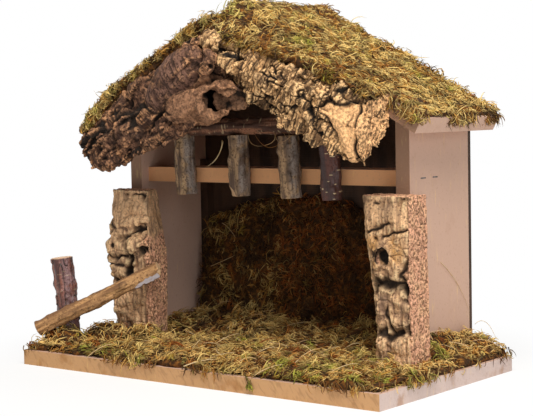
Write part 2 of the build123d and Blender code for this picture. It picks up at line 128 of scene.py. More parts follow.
class StableColours(bpy.types.PropertyGroup):
    """Colours of the finishes."""

    board: colour("Board", "Raw fibreboard", paint(203, 168, 148))
    board_shade: colour("Board shade", "Darker mottling of the fibreboard", paint(178, 141, 118))
    # Painted shade: the front edges of the walls and roof boards are darker than the board, for the shade
    # under the roof.
    board_edge_painted_shade: colour("Board edge", "Cut front edges of the walls and roof boards", paint(150, 118, 96))
    # Painted light: the batten's front edge is lighter than the same board's other cut edges.
    batten: colour("Batten", "Cut front edge of the batten", paint(226, 168, 120))
    base_front: colour("Base front", "Cut front edge of the base", paint(198, 154, 109))
    base_mark: colour("Base mark", "Saw marks on the front edge of the base", paint(118, 80, 48))
    # Painted light: the base's right edge is paler and cooler than its front edge.
    base_side_painted_light: colour("Base side", "Cut side edge of the base", paint(206, 186, 178))
    # Painted shade: both hardboard tones are darkened for the shade under the roof.
    panel: colour("Panel", "Thin brown hardboard", paint(76, 54, 40))
    panel_shade: colour("Panel shade", "Darker streaks of the hardboard", paint(42, 30, 22))
    steel: colour("Steel", "Wire of the staples", paint(120, 116, 112))
    cork: colour("Cork", "Weathered outer cork", paint(246, 196, 138))
    cork_shade: colour("Cork shade", "Darker cork plates", paint(116, 86, 58))
    # Worn ridges, lightened also as a painted highlight.
    cork_pale: colour("Cork pale", "Worn ridges of cork", paint(242, 202, 148))
    # Painted shade at the bottom of cracks, hollows and holes; also the black of flecks, specks, lines,
    # tarnish and peel.
    cork_black_and_shade: colour("Cork crack", "Bottom of the cracks", paint(30, 22, 16))
    cork_bare: colour("Bare cork", "Broken or sawn cork", paint(255, 199, 142))
    crag: colour("Crag", "Outer bark of the left roof slab", paint(135, 97, 74))
    crag_shade: colour("Crag shade", "Darker bark of the left roof slab", paint(70, 47, 37))
    # Worn ridges, lightened also as a painted highlight.
    crag_pale: colour("Crag pale", "Worn ridges of the left roof slab", paint(212, 158, 114))
    crag_lobe: colour("Crag lobe", "Smooth swelling of the left roof slab", paint(130, 96, 81))
    crag_stub: colour("Crag stub", "Broken wood round the hollow stub", paint(168, 124, 93))
    post: colour("Post", "Outer bark of the posts", paint(240, 194, 148))
    post_shade: colour("Post shade", "Grey bark of the posts", paint(140, 110, 88))
    # Worn ridges, lightened also as a painted highlight.
    post_pale: colour("Post pale", "Worn ridges of the posts", paint(228, 198, 152))
    post_warm: colour("Post warm", "Yellowed band on the right post", paint(232, 172, 94))
    post_cut: colour("Post cut", "Sawn side of the posts", paint(224, 168, 136))
    stick: colour("Stick", "Olive bark of the hanging sticks", paint(178, 145, 108))
    stick_shade: colour("Stick shade", "Darker bark of the hanging sticks", paint(90, 68, 52))
    # Painted sheen on the right side of the sticks; the same grey also tints lichen patches on the cork.
    stick_weathered: colour("Stick weathered", "Greyed side of the sticks", paint(144, 130, 120))
    red_bark: colour("Red bark", "Red-brown bark of the dark branches", paint(94, 51, 38))
    red_bark_shade: colour("Red bark shade", "Darker red-brown bark", paint(60, 36, 30))
    # Painted sheen on the right side of the dark branches.
    red_bark_weathered: colour("Red bark sheen", "Shine of the dark bark", paint(86, 58, 52))
    fence_bark: colour("Fence bark", "Purple-red bark of the fence post", paint(146, 92, 74))
    fence_bark_shade: colour("Fence bark shade", "Darker bark of the fence post", paint(76, 46, 42))
    # Painted sheen on the right side of the fence post.
    fence_bark_sheen: colour("Fence bark sheen", "Shine of the fence post", paint(134, 104, 104))
    rail: colour("Rail", "Tan bark of the fence rail", paint(186, 142, 94))
    rail_shade: colour("Rail shade", "Darker bark of the fence rail", paint(124, 88, 56))
    log: colour("Log", "Bark of the lintel log", paint(144, 98, 72))
    log_shade: colour("Log shade", "Darker bark of the lintel log", paint(72, 46, 34))
    cut_wood: colour("Cut wood", "Freshly cut ends of the branches", paint(222, 184, 142))
    saw_cut: colour("Saw cut", "Greyed saw cut of the fence rail", paint(214, 206, 212))
    # Painted shade of the moss; also the dark of moss flecks on the panel and of the felt.
    moss_dark_and_shade: colour("Moss deep", "Moss in the shade of other strands", paint(58, 38, 20))
    moss_brown: colour("Moss brown", "Brown moss strands", paint(152, 98, 42))
    moss_tan: colour("Moss tan", "Tan moss strands", paint(214, 160, 74))
    moss_straw: colour("Moss straw", "Palest moss strands", paint(252, 220, 140))
    moss_green: colour("Moss green", "Fresh green tufts", paint(166, 172, 62))
    moss_russet: colour("Moss russet", "Red-brown moss", paint(170, 92, 34))
    straw: colour("Straw", "Loose straw", paint(230, 206, 160))
    floor: colour("Floor", "Pale floor", (0.92, 0.92, 0.92))


class StageSettings(bpy.types.PropertyGroup):
    """Camera and lamps."""

    azimuth: angle("Azimuth", "Camera heading, from the front towards the right", 38.178)
    elevation: angle("Elevation", "Camera height above the horizon", 3.911)
    roll: angle("Roll", "Turn of the camera about its own axis", -1.085)
    distance: length("Distance", "Camera distance from its target", 1163.02 * MM)
    aim_aside: length("Aim aside", "Target to the right of the middle", 7.022 * MM)
    aim_height: length("Aim height", "Target above the floor", 127.176 * MM)
    focal: number("Focal length", "Focal length in picture pixels", 1469.173)
    key_power: power("Key power", "Power of the warm lamp above the front", 28.5)
    fill_power: power("Fill power", "Power of the cool lamp at the right", 3.6)
    sky: number("Sky", "Strength of the even light from all round", 0.2)


# Random fields

CELL_FACTORS = (374761393, 668265263, 1103515245)
SEED_FACTOR = 2246822519
STIRS = ((13, 1274126177), (15, 461845907))
LAST_SHIFT = 16
WHOLE_BITS = 0x7FFFFFFF
SHARE_BITS = 0xFFFFF
FAR = 99.0


def lattice(cell, seed):
    """Repeatable random numbers from 0 to 1, one for each whole-numbered cell."""
    mixed = sum(cell[..., axis] * factor for axis, factor in enumerate(CELL_FACTORS))
    mixed = (mixed + seed * SEED_FACTOR) & WHOLE_BITS
    for shift, factor in STIRS:
        mixed = ((mixed ^ (mixed >> shift)) * factor) & WHOLE_BITS
    return ((mixed ^ (mixed >> LAST_SHIFT)) & SHARE_BITS) / SHARE_BITS


def smooth_step(low, high, value):
    """Runs smoothly from 0 at low to 1 at high."""
    share = np.clip((value - low) / (high - low), 0, 1)
    return share * share * (3 - 2 * share)


def bump(value, width):
    """1 where value is 0, fading out over width."""
    return np.exp(-((value / width) ** 2))


def ripple(points, size, seed):
    """A smooth random field from -1 to 1 whose bumps are about as wide as size."""
    scaled = points / size
    low = np.floor(scaled).astype(np.int64)
    share = scaled - low
    share = share * share * (3 - 2 * share)
    total = np.zeros(len(points))
    for corner in itertools.product((0, 1), repeat=3):
        weight = np.where(corner, share, 1 - share).prod(axis=-1)
        total += weight * lattice(low + corner, seed)
    return 2 * total - 1


def patches(points, size, seed, low, high):
    """Random patches from 0 to 1, whose soft rims lie where a ripple goes from low to high."""
    return smooth_step(low, high, ripple(points, size, seed))


def roughness_of(points, size, seed, layers=3):
    """Ripples of halving size added up."""
    return sum(ripple(points, size / 2**k, seed + k) / 2**k for k in range(layers))


def billow(points, size, seed, layers=2):
    """Round swellings with sharp folds between them: 0 in a fold, about 0.4 on a swelling."""
    return sum(np.abs(ripple(points, size / 2**k, seed + k)) / 2**k for k in range(layers))


def warp(points, size, amount, seed):
    """Points pushed about by a smooth random field."""
    shift = [ripple(points, size, seed + k) for k in range(3)]
    return points + amount * np.stack(shift, axis=-1)


def split_cells(points, size, seed, blocky=2):
    """Splits space into random cells: nearest and next distance, way from the middle, traits."""
    scaled = points / size
    low = np.floor(scaled).astype(np.int64)
    first = np.full(len(points), FAR)
    second = first.copy()
    away = np.zeros_like(scaled)
    traits = np.zeros_like(scaled)
    for step in itertools.product((-1, 0, 1), repeat=3):
        cell = low + step
        jitter = np.stack([lattice(cell, seed + k) for k in range(3)], axis=-1)
        offset = scaled - cell - jitter
        distance = (np.abs(offset) ** blocky).sum(axis=-1) ** (1 / blocky)
        nearer = distance < first
        second = np.where(nearer, first, np.minimum(second, distance))
        first = np.where(nearer, distance, first)
        away[nearer] = offset[nearer]
        kept = cell[nearer]
        traits[nearer] = np.stack([lattice(kept, seed + 3 + k) for k in range(3)], axis=-1)
    return first, second, away, traits


class Plates(typing.NamedTuple):
    """Random plates at some points: the cracks round them, where the carving sinks the skin and paints shade,
    their heights, leans and traits.
    """

    crack: np.ndarray
    height: np.ndarray
    lean: np.ndarray
    traits: np.ndarray


def split_plates(points, size, seed, gap=0.2, blocky=4):
    """Blocky plates with broken cracks of uneven width between them."""
    bent = warp(warp(points, size * 1.7, size * 0.5, seed), size * 0.5, size * 0.16, seed + 50)
    first, second, away, traits = split_cells(bent, size, seed + 5, blocky)
    broken = patches(points, size * 1.1, seed + 9, -0.45, 0.35)
    width = np.maximum(gap * broken * (1 + 0.6 * ripple(points, size * 0.5, seed + 11)), 0.02)
    crack = (1 - smooth_step(0.3 * width, width, second - first)) * broken
    lean = (away * (traits - 0.5)).sum(axis=-1)
    return Plates(crack, traits[:, 1] - 0.5, lean, traits)


# Meshes

WELD = 0.001 * MM
BALL_DIVISIONS = 4
TILE_MARGIN = 0.03
HOLLOW_ROUNDS = 24
# Hollows this deep take painted shade and ridges this high take wear and a painted highlight; the tone takes
# painted shade and light over SHADED_DEPTH.
CRACK_DEPTHS = (0.6 * MM, 2.4 * MM)
RIDGE_HEIGHTS = (0.1 * MM, 0.9 * MM)
SHADED_DEPTH = 1.2 * MM
SHADE_SHARE = 0.35


def unit(vectors):
    """Vectors of length 1."""
    return vectors / np.maximum(np.linalg.norm(vectors, axis=-1, keepdims=True), 1e-9)


def read(items, name, width, kind=np.float32):
    """What the items of a mesh hold under a name, in rows of width numbers."""
    values = np.empty(len(items) * width, kind)
    items.foreach_get(name, values)
    return values.reshape(-1, width)


class Lump(typing.NamedTuple):
    """An ellipsoid swelling: middle and half sizes in millimetres, tilt in the front view."""

    middle: tuple
    reach: tuple
    tilt: float = 0.0

    def matrix(self):
        """Turns a ball of radius 1 into the lump."""
        middle = Matrix.Translation(Vector(self.middle) * MM)
        turn = Matrix.Rotation(-math.radians(self.tilt), 4, "Y")
        return middle @ turn @ Matrix.Diagonal((*(Vector(self.reach) * MM), 1))

    def depth(self, points):
        """0 at the middle of the lump and 1 on its skin."""
        inside = np.array(self.matrix().inverted())
        local = points @ inside[:3, :3].T + inside[:3, 3]
        return np.linalg.norm(local, axis=-1)

    def within(self, points, low, high):
        """1 inside the lump and 0 outside it, fading from one depth to another."""
        return 1 - smooth_step(low, high, self.depth(points))


def solid_copy(node, lumps=()):
    """A welded copy of a CAD node, with lumps added."""
    form = bmesh.new()
    form.from_mesh(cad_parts[node].data)
    bmesh.ops.remove_doubles(form, verts=form.verts, dist=WELD)
    for lump in lumps:
        bmesh.ops.create_icosphere(form, subdivisions=BALL_DIVISIONS, radius=1, matrix=lump.matrix())
    return form


def skinned(name, form, detail, ease=0):
    """A new piece whose even skin follows a form."""
    mesh = bpy.data.meshes.new(name)
    form.to_mesh(mesh)
    form.free()
    piece = bpy.data.objects.new(name, mesh)
    bpy.context.scene.collection.objects.link(piece)
    skin = piece.modifiers.new("Skin", "REMESH")
    skin.mode = "VOXEL"
    skin.voxel_size = detail
    if ease:
        rounding = piece.modifiers.new("Ease", "SMOOTH")
        rounding.iterations = ease
    depsgraph = bpy.context.evaluated_depsgraph_get()
    fine = bpy.data.meshes.new_from_object(piece.evaluated_get(depsgraph))
    piece.modifiers.clear()
    piece.data = fine
    fine.name = name
    return piece


def write_marks(mesh, marks):
    """Stores one number for each point and mark, which the finishes read."""
    for name, values in marks.items():
        layer = mesh.attributes.new(name, "FLOAT", "POINT")
        layer.data.foreach_set("value", np.asarray(values, np.float32))


def lay_out_box(mesh):
    """A texture layout with one tile for each of the six sides that a face may look to."""
    corners = read(mesh.loops, "vertex_index", 1, np.int32)[:, 0]
    totals = read(mesh.polygons, "loop_total", 1, np.int32)[:, 0]
    normals = read(mesh.polygons, "normal", 3)
    points = read(mesh.vertices, "co", 3)
    axis = np.abs(normals).argmax(axis=1)
    looks_up = np.take_along_axis(normals, axis[:, None], axis=1)[:, 0] > 0
    axis = np.repeat(axis, totals)
    looks_up = np.repeat(looks_up, totals)
    low = points.min(axis=0)
    span = points.max(axis=0) - low
    share = ((points - low) / span * (1 - 2 * TILE_MARGIN) + TILE_MARGIN)[corners]
    flat_u = np.where(axis == 0, share[:, 1], share[:, 0])
    flat_v = np.where(axis == 2, share[:, 1], share[:, 2])
    layout = np.stack([(axis + flat_u) / 3, (looks_up + flat_v) / 2], axis=-1)
    layer = mesh.uv_layers.new(name="OFBake")
    layer.data.foreach_set("uv", layout.astype(np.float32).ravel())


class Skin:
    """The fine skin of a new piece while it is carved."""

    def __init__(self, name, form, detail, ease):
        self.piece = skinned(name, form, detail, ease)
        mesh = self.piece.data
        self.points = read(mesh.vertices, "co", 3).astype(float)
        self.normals = read(mesh.vertex_normals, "vector", 3).astype(float)
        count = len(self.points)
        self.push = np.zeros(count)
        self.shift = np.zeros((count, 3))
        # dark holds the painted shade that the cuts leave.
        self.dark = np.zeros(count)

    def cut(self, share, depth, shade=0.0):
        """Sinks the skin by as much as share says, and darkens it there as painted shade."""
        self.push -= depth * share
        self.dark = np.maximum(self.dark, shade * share)

    def moved(self):
        """The points after all carving."""
        return self.points + self.normals * self.push[:, None] + self.shift

    def hollow(self, points):
        """How far each point lies below the mean of those round it."""
        ends = read(self.piece.data.edges, "vertices", 2, np.int32)
        near = np.concatenate([ends[:, 0], ends[:, 1]])
        far = np.concatenate([ends[:, 1], ends[:, 0]])
        share = 1 / np.bincount(near, minlength=len(points))
        mean = points
        for _ in range(HOLLOW_ROUNDS):
            sums = [np.bincount(near, mean[far, axis], len(points)) for axis in range(3)]
            mean = np.stack(sums, axis=-1) * share[:, None]
        return ((mean - points) * self.normals).sum(axis=-1)

    def write(self, marks):
        """Moves the skin and stores its marks."""
        mesh = self.piece.data
        mesh.vertices.foreach_set("co", self.moved().astype(np.float32).ravel())
        write_marks(mesh, marks)
        mesh.shade_smooth()
        mesh.update()
        lay_out_box(mesh)

    def write_bark(self, marks):
        """Moves the skin; paints shade into its hollows, wear and a painted highlight onto its ridges, and
        painted shade and light into its tone.
        """
        low = self.hollow(self.moved())
        # Painted shade in cracks and hollows, wear and a painted highlight on ridges, painted shade and light
        # in the tone.
        marks["crack"] = np.maximum(self.dark, smooth_step(*CRACK_DEPTHS, low))
        marks["wear"] = smooth_step(*RIDGE_HEIGHTS, -low)
        marks["tone"] = marks["tone"] - SHADE_SHARE * np.clip(low / SHADED_DEPTH, -1, 1)
        self.write(marks)


def dress(piece, finish, slot, *nodes):
    """Gives a new piece its finish, hangs it under the root and hides the CAD nodes that it stands for."""
    piece.data.materials.clear()
    piece.data.materials.append(finish)
    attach(piece, ROOT)
    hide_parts(*nodes)


def refinish(finish, *nodes):
    """Gives CAD nodes that stay in view another finish."""
    for node in nodes:
        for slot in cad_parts[node].material_slots:
            slot.material = finish


# Shader maths

GRAIN_SCALE = 0.6


class Signal:
    """A shader socket; sums on it add Math nodes."""

    def __init__(self, shader, socket):
        self.shader = shader
        self.socket = socket

    def __add__(self, other):
        return self.shader.sum("ADD", self, other)

    def __sub__(self, other):
        return self.shader.sum("SUBTRACT", self, other)

    def __mul__(self, other):
        return self.shader.sum("MULTIPLY", self, other)

    def __rsub__(self, other):
        return self.shader.sum("SUBTRACT", other, self)

    __radd__ = __add__
    __rmul__ = __mul__


class Shader:
    """Builds one node tree."""

    def __init__(self, tree):
        self.tree = tree
        tree.nodes.clear()

    def node(self, kind, settings, inputs, output=0):
        """Adds a node, sets it, then fills or links its sockets, and gives one output."""
        node = self.tree.nodes.new(kind)
        for name, value in settings.items():
            if name == "stops":
                self.set_stops(node.color_ramp, value)
            else:
                setattr(node, name, value)
        for key, value in inputs.items():
            if isinstance(value, Signal):
                self.tree.links.new(value.socket, node.inputs[key])
            else:
                node.inputs[key].default_value = value
        return Signal(self, node.outputs[output]) if node.outputs else None

    @staticmethod
    def set_stops(ramp, stops):
        """Fills a colour ramp."""
        while len(ramp.elements) < len(stops):
            ramp.elements.new(1)
        for element, (place, shade) in zip(ramp.elements, stops):
            element.position = place
            element.color = (*shade, 1)

    def sum(self, operation, first, second):
        """One sum of two numbers."""
        return self.node("ShaderNodeMath", {"operation": operation}, {0: first, 1: second})

    def place(self):
        """Where a point is, in metres."""
        return self.node("ShaderNodeTexCoord", {}, {}, "Object")

    def facing(self, axis):
        """How far a surface looks along an axis, from -1 to 1."""
        return self.parts(self.node("ShaderNodeNewGeometry", {}, {}, "True Normal"), axis)

    def stretch(self, vector, x, y, z):
        """A vector with its parts multiplied."""
        return self.node("ShaderNodeVectorMath", {"operation": "MULTIPLY"}, {0: vector, 1: (x, y, z)})

    def parts(self, vector, axis):
        """One part of a vector."""
        return self.node("ShaderNodeSeparateXYZ", {}, {0: vector}, axis)

    def mark(self, name):
        """A number stored on the mesh."""
        return self.node("ShaderNodeAttribute", {"attribute_name": name}, {}, "Fac")

    def turned(self, vector, lean):
        """A vector turned in the front view."""
        inputs = {"Vector": vector, "Angle": lean}
        return self.node("ShaderNodeVectorRotate", {"rotation_type": "Y_AXIS"}, inputs)

    def grain(self, vector, size, detail=3.0, twist=0.0):
        """Soft noise from 0 to 1 with bumps about as wide as size."""
        inputs = {"Vector": vector, "Scale": GRAIN_SCALE / size, "Detail": detail, "Distortion": twist}
        return self.node("ShaderNodeTexNoise", {}, inputs)

    def between(self, value, low, high, start=0.0, end=1.0):
        """Runs smoothly from start to end as value goes from low to high."""
        inputs = {0: value, 1: low, 2: high, 3: start, 4: end}
        return self.node("ShaderNodeMapRange", {"interpolation_type": "SMOOTHSTEP"}, inputs)

    def mix(self, share, first, second):
        """Mixes two colours."""
        settings = {"data_type": "RGBA", "blend_type": "MIX", "clamp_factor": True}
        inputs = {0: share, 6: self.shade(first), 7: self.shade(second)}
        return self.node("ShaderNodeMix", settings, inputs, 2)

    def tint(self, base, tone, value, low, high, share=None):
        """Mixes a tone into a base as value goes from low to high, all of it or a share."""
        amount = self.between(value, low, high)
        return self.mix(amount if share is None else amount * share, base, tone)

    def coats(self, base, *coats):
        """Tints a base with one coat after another: tone, value, low, high and share."""
        for coat in coats:
            base = self.tint(base, *coat)
        return base

    @staticmethod
    def shade(value):
        """A colour with its alpha, or a socket as it is."""
        return value if isinstance(value, Signal) else (*value, 1)

    def ramp(self, value, *stops):
        """A colour from a row of stops."""
        return self.node("ShaderNodeValToRGB", {"stops": stops}, {0: value})

    def surface(self, base, rough, height, depth, strength, **plain):
        """A solid surface with bumps of a height, depth and strength; plain values go on its own sockets."""
        bumps = {"Height": height, "Distance": depth, "Strength": strength}
        inputs = {"Base Color": base, "Roughness": rough, "Normal": self.node("ShaderNodeBump", {}, bumps)}
        inputs.update({key.replace("_", " "): value for key, value in plain.items()})
        solid = self.node("ShaderNodeBsdfPrincipled", {}, inputs)
        self.node("ShaderNodeOutputMaterial", {}, {"Surface": solid})


def new_finish(name):
    """A new material and the builder of its nodes."""
    finish = bpy.data.materials.new(name)
    finish.use_nodes = True
    return finish, Shader(finish.node_tree)


# Finishes

FACES_FRONT = (-0.6, -0.9)
FACES_RIGHT = (0.6, 0.9)
PRESS_MESH = 160.0


class Cork(typing.NamedTuple):
    """Looks of a cork bark.

    Its tones are the names of the light, dark, worn, bare and smooth colours; its lines have a slant.
    """

    tones: tuple
    lean: float
    ruled: float
    flecked: float


POST_TONES = ("post", "post_shade", "post_pale", "post_cut", "post_warm")
CORKS = {
    "plated_cork": Cork(
        ("cork", "cork_shade", "cork_pale", "cork_bare", "cork"), lean=-ROOF_SLOPE, ruled=1.0, flecked=0.8
    ),
    "craggy_cork": Cork(
        ("crag", "crag_shade", "crag_pale", "crag_stub", "crag_lobe"), lean=ROOF_SLOPE, ruled=0.7, flecked=0.9
    ),
    "left_bark_post_cork": Cork(POST_TONES, lean=0.0, ruled=0.2, flecked=0.35),
    "right_bark_post_cork": Cork(POST_TONES, lean=0.0, ruled=0.3, flecked=0.6),
}


class Bark(typing.NamedTuple):
    """Looks of a thin bark: the names of its light, dark and painted-sheen colours, and its roughness."""

    tones: tuple
    rough: float


# The third tone of each bark is a painted sheen on its right side; the rail and the log repeat their light
# tone there.
BARKS = {
    "olive_bark": Bark(("stick", "stick_shade", "stick_weathered"), 0.5),
    "red_bark": Bark(("red_bark", "red_bark_shade", "red_bark_weathered"), 0.32),
    "purple_bark": Bark(("fence_bark", "fence_bark_shade", "fence_bark_sheen"), 0.32),
    "tan_bark": Bark(("rail", "rail_shade", "rail"), 0.62),
    "brown_bark": Bark(("log", "log_shade", "log"), 0.68),
}


def named_colours(colours, names):
    """The colours of a row of names."""
    return (getattr(colours, name) for name in names)


def board_finish(name, colours, front, side, worn=0.0):
    """Raw fibreboard: mottled, finely flecked, with other tones on the faces that look front and right, which
    some callers use for painted light and shade, and darker brown patches towards the bottom.
    """
    finish, shader = new_finish(name)
    place = shader.place()
    mottle = shader.grain(place, 24 * MM)
    fleck = shader.grain(place, 1.1 * MM, 4.0)
    fibre = shader.grain(shader.stretch(place, 1, 1, 0.18), 1.6 * MM, 3.0)
    base = shader.tint(colours.board, colours.board_shade, mottle, 0.35, 0.7, 0.55)
    # The faces that look front and right take the front and side tones: painted shade on the walls' front
    # edges, painted light on the batten's front and on the base's right side.
    base = shader.coats(
        base,
        (front, shader.facing("Y"), *FACES_FRONT),
        (side, shader.facing("X"), *FACES_RIGHT),
        (colours.board_shade, fleck, 0.56, 0.74, 0.4),
        (colours.moss_straw, fibre, 0.6, 0.8, 0.25),
    )
    saw = shader.grain(shader.stretch(shader.turned(place, 0.6), 1, 1, 0.35), 2.6 * MM, 3.0, 1.0)
    marked = shader.between(saw, 0.5, 0.68) * shader.between(shader.facing("Y"), *FACES_FRONT)
    base = shader.mix(marked * worn, base, colours.base_mark)
    # Darker brown patches towards the bottom.
    brown_patches = shader.between(shader.grain(place, 9 * MM, 5.0), 0.56, 0.72)
    low = shader.between(shader.parts(place, "Z"), 22 * MM, 10 * MM)
    base = shader.mix(brown_patches * (low * 0.4 + 0.08), base, colours.moss_brown)
    shader.surface(base, 0.74 + fleck * 0.2, fleck + fibre * 0.6, 0.25 * MM, 0.6, Specular_IOR_Level=0.3)
    return finish


def panel_finish(colours):
    """Thin brown hardboard, darkened as painted shade, with the press mesh on its faces, and rough strips."""
    finish, shader = new_finish("brown_hardboard")
    place = shader.place()
    streak = shader.grain(shader.stretch(place, 1, 1, 0.2), 7 * MM, 4.0)
    fleck = shader.grain(place, 1.3 * MM, 3.0)
    base = shader.tint(colours.panel, colours.panel_shade, streak, 0.35, 0.7)
    base = shader.tint(base, colours.moss_dark_and_shade, fleck, 0.58, 0.75, 0.6)
    inputs = {"Vector": place, "Scale": PRESS_MESH}
    across, upright = (
        shader.node("ShaderNodeTexWave", {"wave_type": "BANDS", "bands_direction": axis}, inputs, 1)
        for axis in "XZ"
    )
    height = across * upright + fleck * 0.8
    shader.surface(base, 0.6 + fleck * 0.25, height, 0.3 * MM, 0.5, Specular_IOR_Level=0.3)
    return finish


def steel_finish(colours):
    """Dull wire with darker patches."""
    finish, shader = new_finish("staple_wire")
    tarnish = shader.grain(shader.place(), 1.5 * MM, 4.0)
    base = shader.tint(colours.steel, colours.cork_black_and_shade, tarnish, 0.4, 0.7)
    shader.surface(base, 0.35 + tarnish * 0.3, tarnish, 0.1 * MM, 0.4, Metallic=0.9)
    return finish


def cork_finish(name, colours):
    """Cork bark: striated plates of several tones, worn ridges with a painted highlight, cracks and hollows
    darkened as painted shade, bare cork where it is cut.
    """
    finish, shader = new_finish(name)
    tones, lean, ruled, flecked = CORKS[name]
    light, dark, pale, bare, lobe = named_colours(colours, tones)
    black = colours.cork_black_and_shade
    place = shader.place()
    mottle = shader.grain(place, 5 * MM, 4.0)
    speck = shader.grain(place, 1.2 * MM, 4.0)
    across = shader.stretch(shader.turned(place, lean), 1, 0.3, 0.14)
    lines = shader.grain(across, 1.3 * MM, 2.0, 0.5)
    fleck = shader.grain(place, 1.1 * MM, 1.0)
    pits = shader.grain(shader.stretch(place, 1, 1, 0.8), 1.1 * MM, 2.0)
    bare_share = shader.mark("bare")
    # The tone mark carries painted shade and light from the relief.
    base = shader.tint(dark, light, shader.mark("tone") + mottle * 0.9, 0.45, 1.25)
    base = shader.coats(
        base,
        (dark, shader.mark("layers"), 0.5, 0.8, 0.6),
        (colours.stick_weathered, shader.grain(place, 11 * MM, 4.0), 0.58, 0.7, 0.15),
        (black, shader.grain(place, 15 * MM, 5.0), 0.54, 0.68, 0.35),
        (colours.moss_brown, mottle, 0.5, 0.7, 0.35),
    )
    base = shader.mix(shader.mark("lobe"), base, shader.tint(lobe, dark, mottle, 0.35, 0.7))
    # Worn ridges with a painted highlight, in patches.
    base = shader.mix(shader.mark("wear") * shader.between(mottle, 0.3, 0.6) * 0.75, base, pale)
    base = shader.coats(
        base,
        (dark, lines, 0.47, 0.57, 0.8 * ruled),
        (black, lines, 0.56, 0.64, 0.85 * ruled),
        (dark, fleck, 0.5, 0.6, 0.7 * flecked),
        (black, fleck, 0.58, 0.67, 0.7 * flecked),
    )
    broken = shader.tint(bare, light, mottle, 0.4, 0.7, 0.6)
    porous = shader.between(bare_share, 0.75, 1.0, 0.4, 0.75)
    broken = shader.tint(broken, colours.cork_shade, pits, 0.48, 0.58, porous)
    broken = shader.tint(broken, black, pits, 0.58, 0.66, porous * 0.4)
    broken = shader.tint(broken, dark, fleck, 0.5, 0.62, 0.55 * flecked)
    base = shader.mix(bare_share, base, broken)
    base = shader.tint(base, black, speck, 0.6, 0.78, 0.35)
    # Painted shade: cracks, hollows and holes go black.
    base = shader.tint(base, black, shader.mark("crack"), 0.05, 0.95)
    height = speck + mottle * 0.8 - lines * (2.2 * ruled) * (1 - bare_share) - pits * bare_share
    shader.surface(base, 0.78 + speck * 0.18, height, 0.9 * MM, 0.8, Specular_IOR_Level=0.25)
    return finish


def branch_finish(name, colours):
    """Thin bark with lengthwise streaks, a painted sheen on its right side and pale cuts."""
    finish, shader = new_finish(name)
    tones, rough = BARKS[name]
    light, dark, painted_sheen = named_colours(colours, tones)
    place = shader.place()
    streak = shader.mark("streak")
    mottle = shader.grain(place, 6 * MM, 4.0)
    speck = shader.grain(place, 1.0 * MM, 4.0)
    base = shader.tint(light, dark, streak + mottle * 0.6 - 0.3, 0.25, 0.75)
    # Painted sheen: in patches, the side that looks right takes the sheen tone.
    base = shader.mix(shader.mark("side") * shader.between(mottle, 0.35, 0.55), base, painted_sheen)
    base = shader.coats(
        base,
        (dark, shader.grain(place, 9 * MM, 5.0), 0.52, 0.66, 0.6),
        (dark, speck, 0.5, 0.66, 0.8),
        (colours.cork_black_and_shade, speck, 0.62, 0.75, 0.6),
    )
    base = shader.mix(shader.mark("peel"), base, colours.cork_black_and_shade)
    base = shader.mix(shader.mark("speck"), base, colours.straw)
    base = shader.mix(shader.mark("cut"), base, shader.tint(colours.cut_wood, light, speck, 0.4, 0.7, 0.5))
    base = shader.mix(shader.mark("sawn"), base, shader.tint(colours.saw_cut, light, speck, 0.5, 0.7, 0.4))
    shader.surface(base, rough + speck * 0.25, speck + streak * 0.6, 0.6 * MM, 0.7, Specular_IOR_Level=0.4)
    return finish


def moss_finish(colours):
    """Dried moss strands: roots darkened as painted shade, tones from deep brown to straw, green and russet
    tufts.
    """
    finish, shader = new_finish("dried_moss")
    base = shader.ramp(
        shader.mark("tone"),
        (0.0, tuple(colours.moss_dark_and_shade)),
        (0.3, tuple(colours.moss_brown)),
        (0.62, tuple(colours.moss_tan)),
        (1.0, tuple(colours.moss_straw)),
    )
    base = shader.mix(shader.mark("green"), base, colours.moss_green)
    base = shader.mix(shader.mark("russet"), base, colours.moss_russet)
    # Painted shade: strands darken towards their roots.
    base = shader.tint(base, colours.moss_dark_and_shade, shader.mark("along"), 0.4, 0.0, 0.5)
    # Painted shade in the gaps between clumps, on flat-lying clumps and in the dim beds.
    base = shader.mix(shader.mark("deep"), base, colours.moss_dark_and_shade)
    speck = shader.grain(shader.place(), 1.0 * MM, 2.0)
    base = shader.tint(base, colours.moss_brown, speck, 0.55, 0.75, 0.35)
    shader.surface(base, 0.7 + speck * 0.2, speck, 0.2 * MM, 0.5, Specular_IOR_Level=0.25)
    return finish


def mat_finish(colours):
    """The dense dark felt under the moss strands, in the moss shade colour: partly its own dark brown, partly
    painted shade.
    """
    finish, shader = new_finish("moss_felt")
    place = shader.place()
    tangle = shader.grain(place, 2.2 * MM, 5.0)
    base = shader.tint(colours.moss_dark_and_shade, colours.moss_brown, tangle, 0.45, 0.75, 0.8)
    base = shader.tint(base, colours.moss_russet, shader.grain(place, 15 * MM, 3.0), 0.5, 0.75, 0.2)
    shader.surface(base, 0.8 + tangle * 0.15, tangle, 1.2 * MM, 0.9, Specular_IOR_Level=0.2)
    return finish


def straw_finish(colours):
    """Dry pale straw."""
    finish, shader = new_finish("dry_straw")
    streak = shader.grain(shader.place(), 3 * MM, 3.0)
    base = shader.tint(colours.straw, colours.moss_tan, streak, 0.4, 0.7, 0.5)
    base = shader.mix(shader.mark("tone"), base, colours.moss_brown)
    shader.surface(base, 0.5 + streak * 0.2, streak, 0.1 * MM, 0.4, Specular_IOR_Level=0.35)
    return finish


# Roof barks

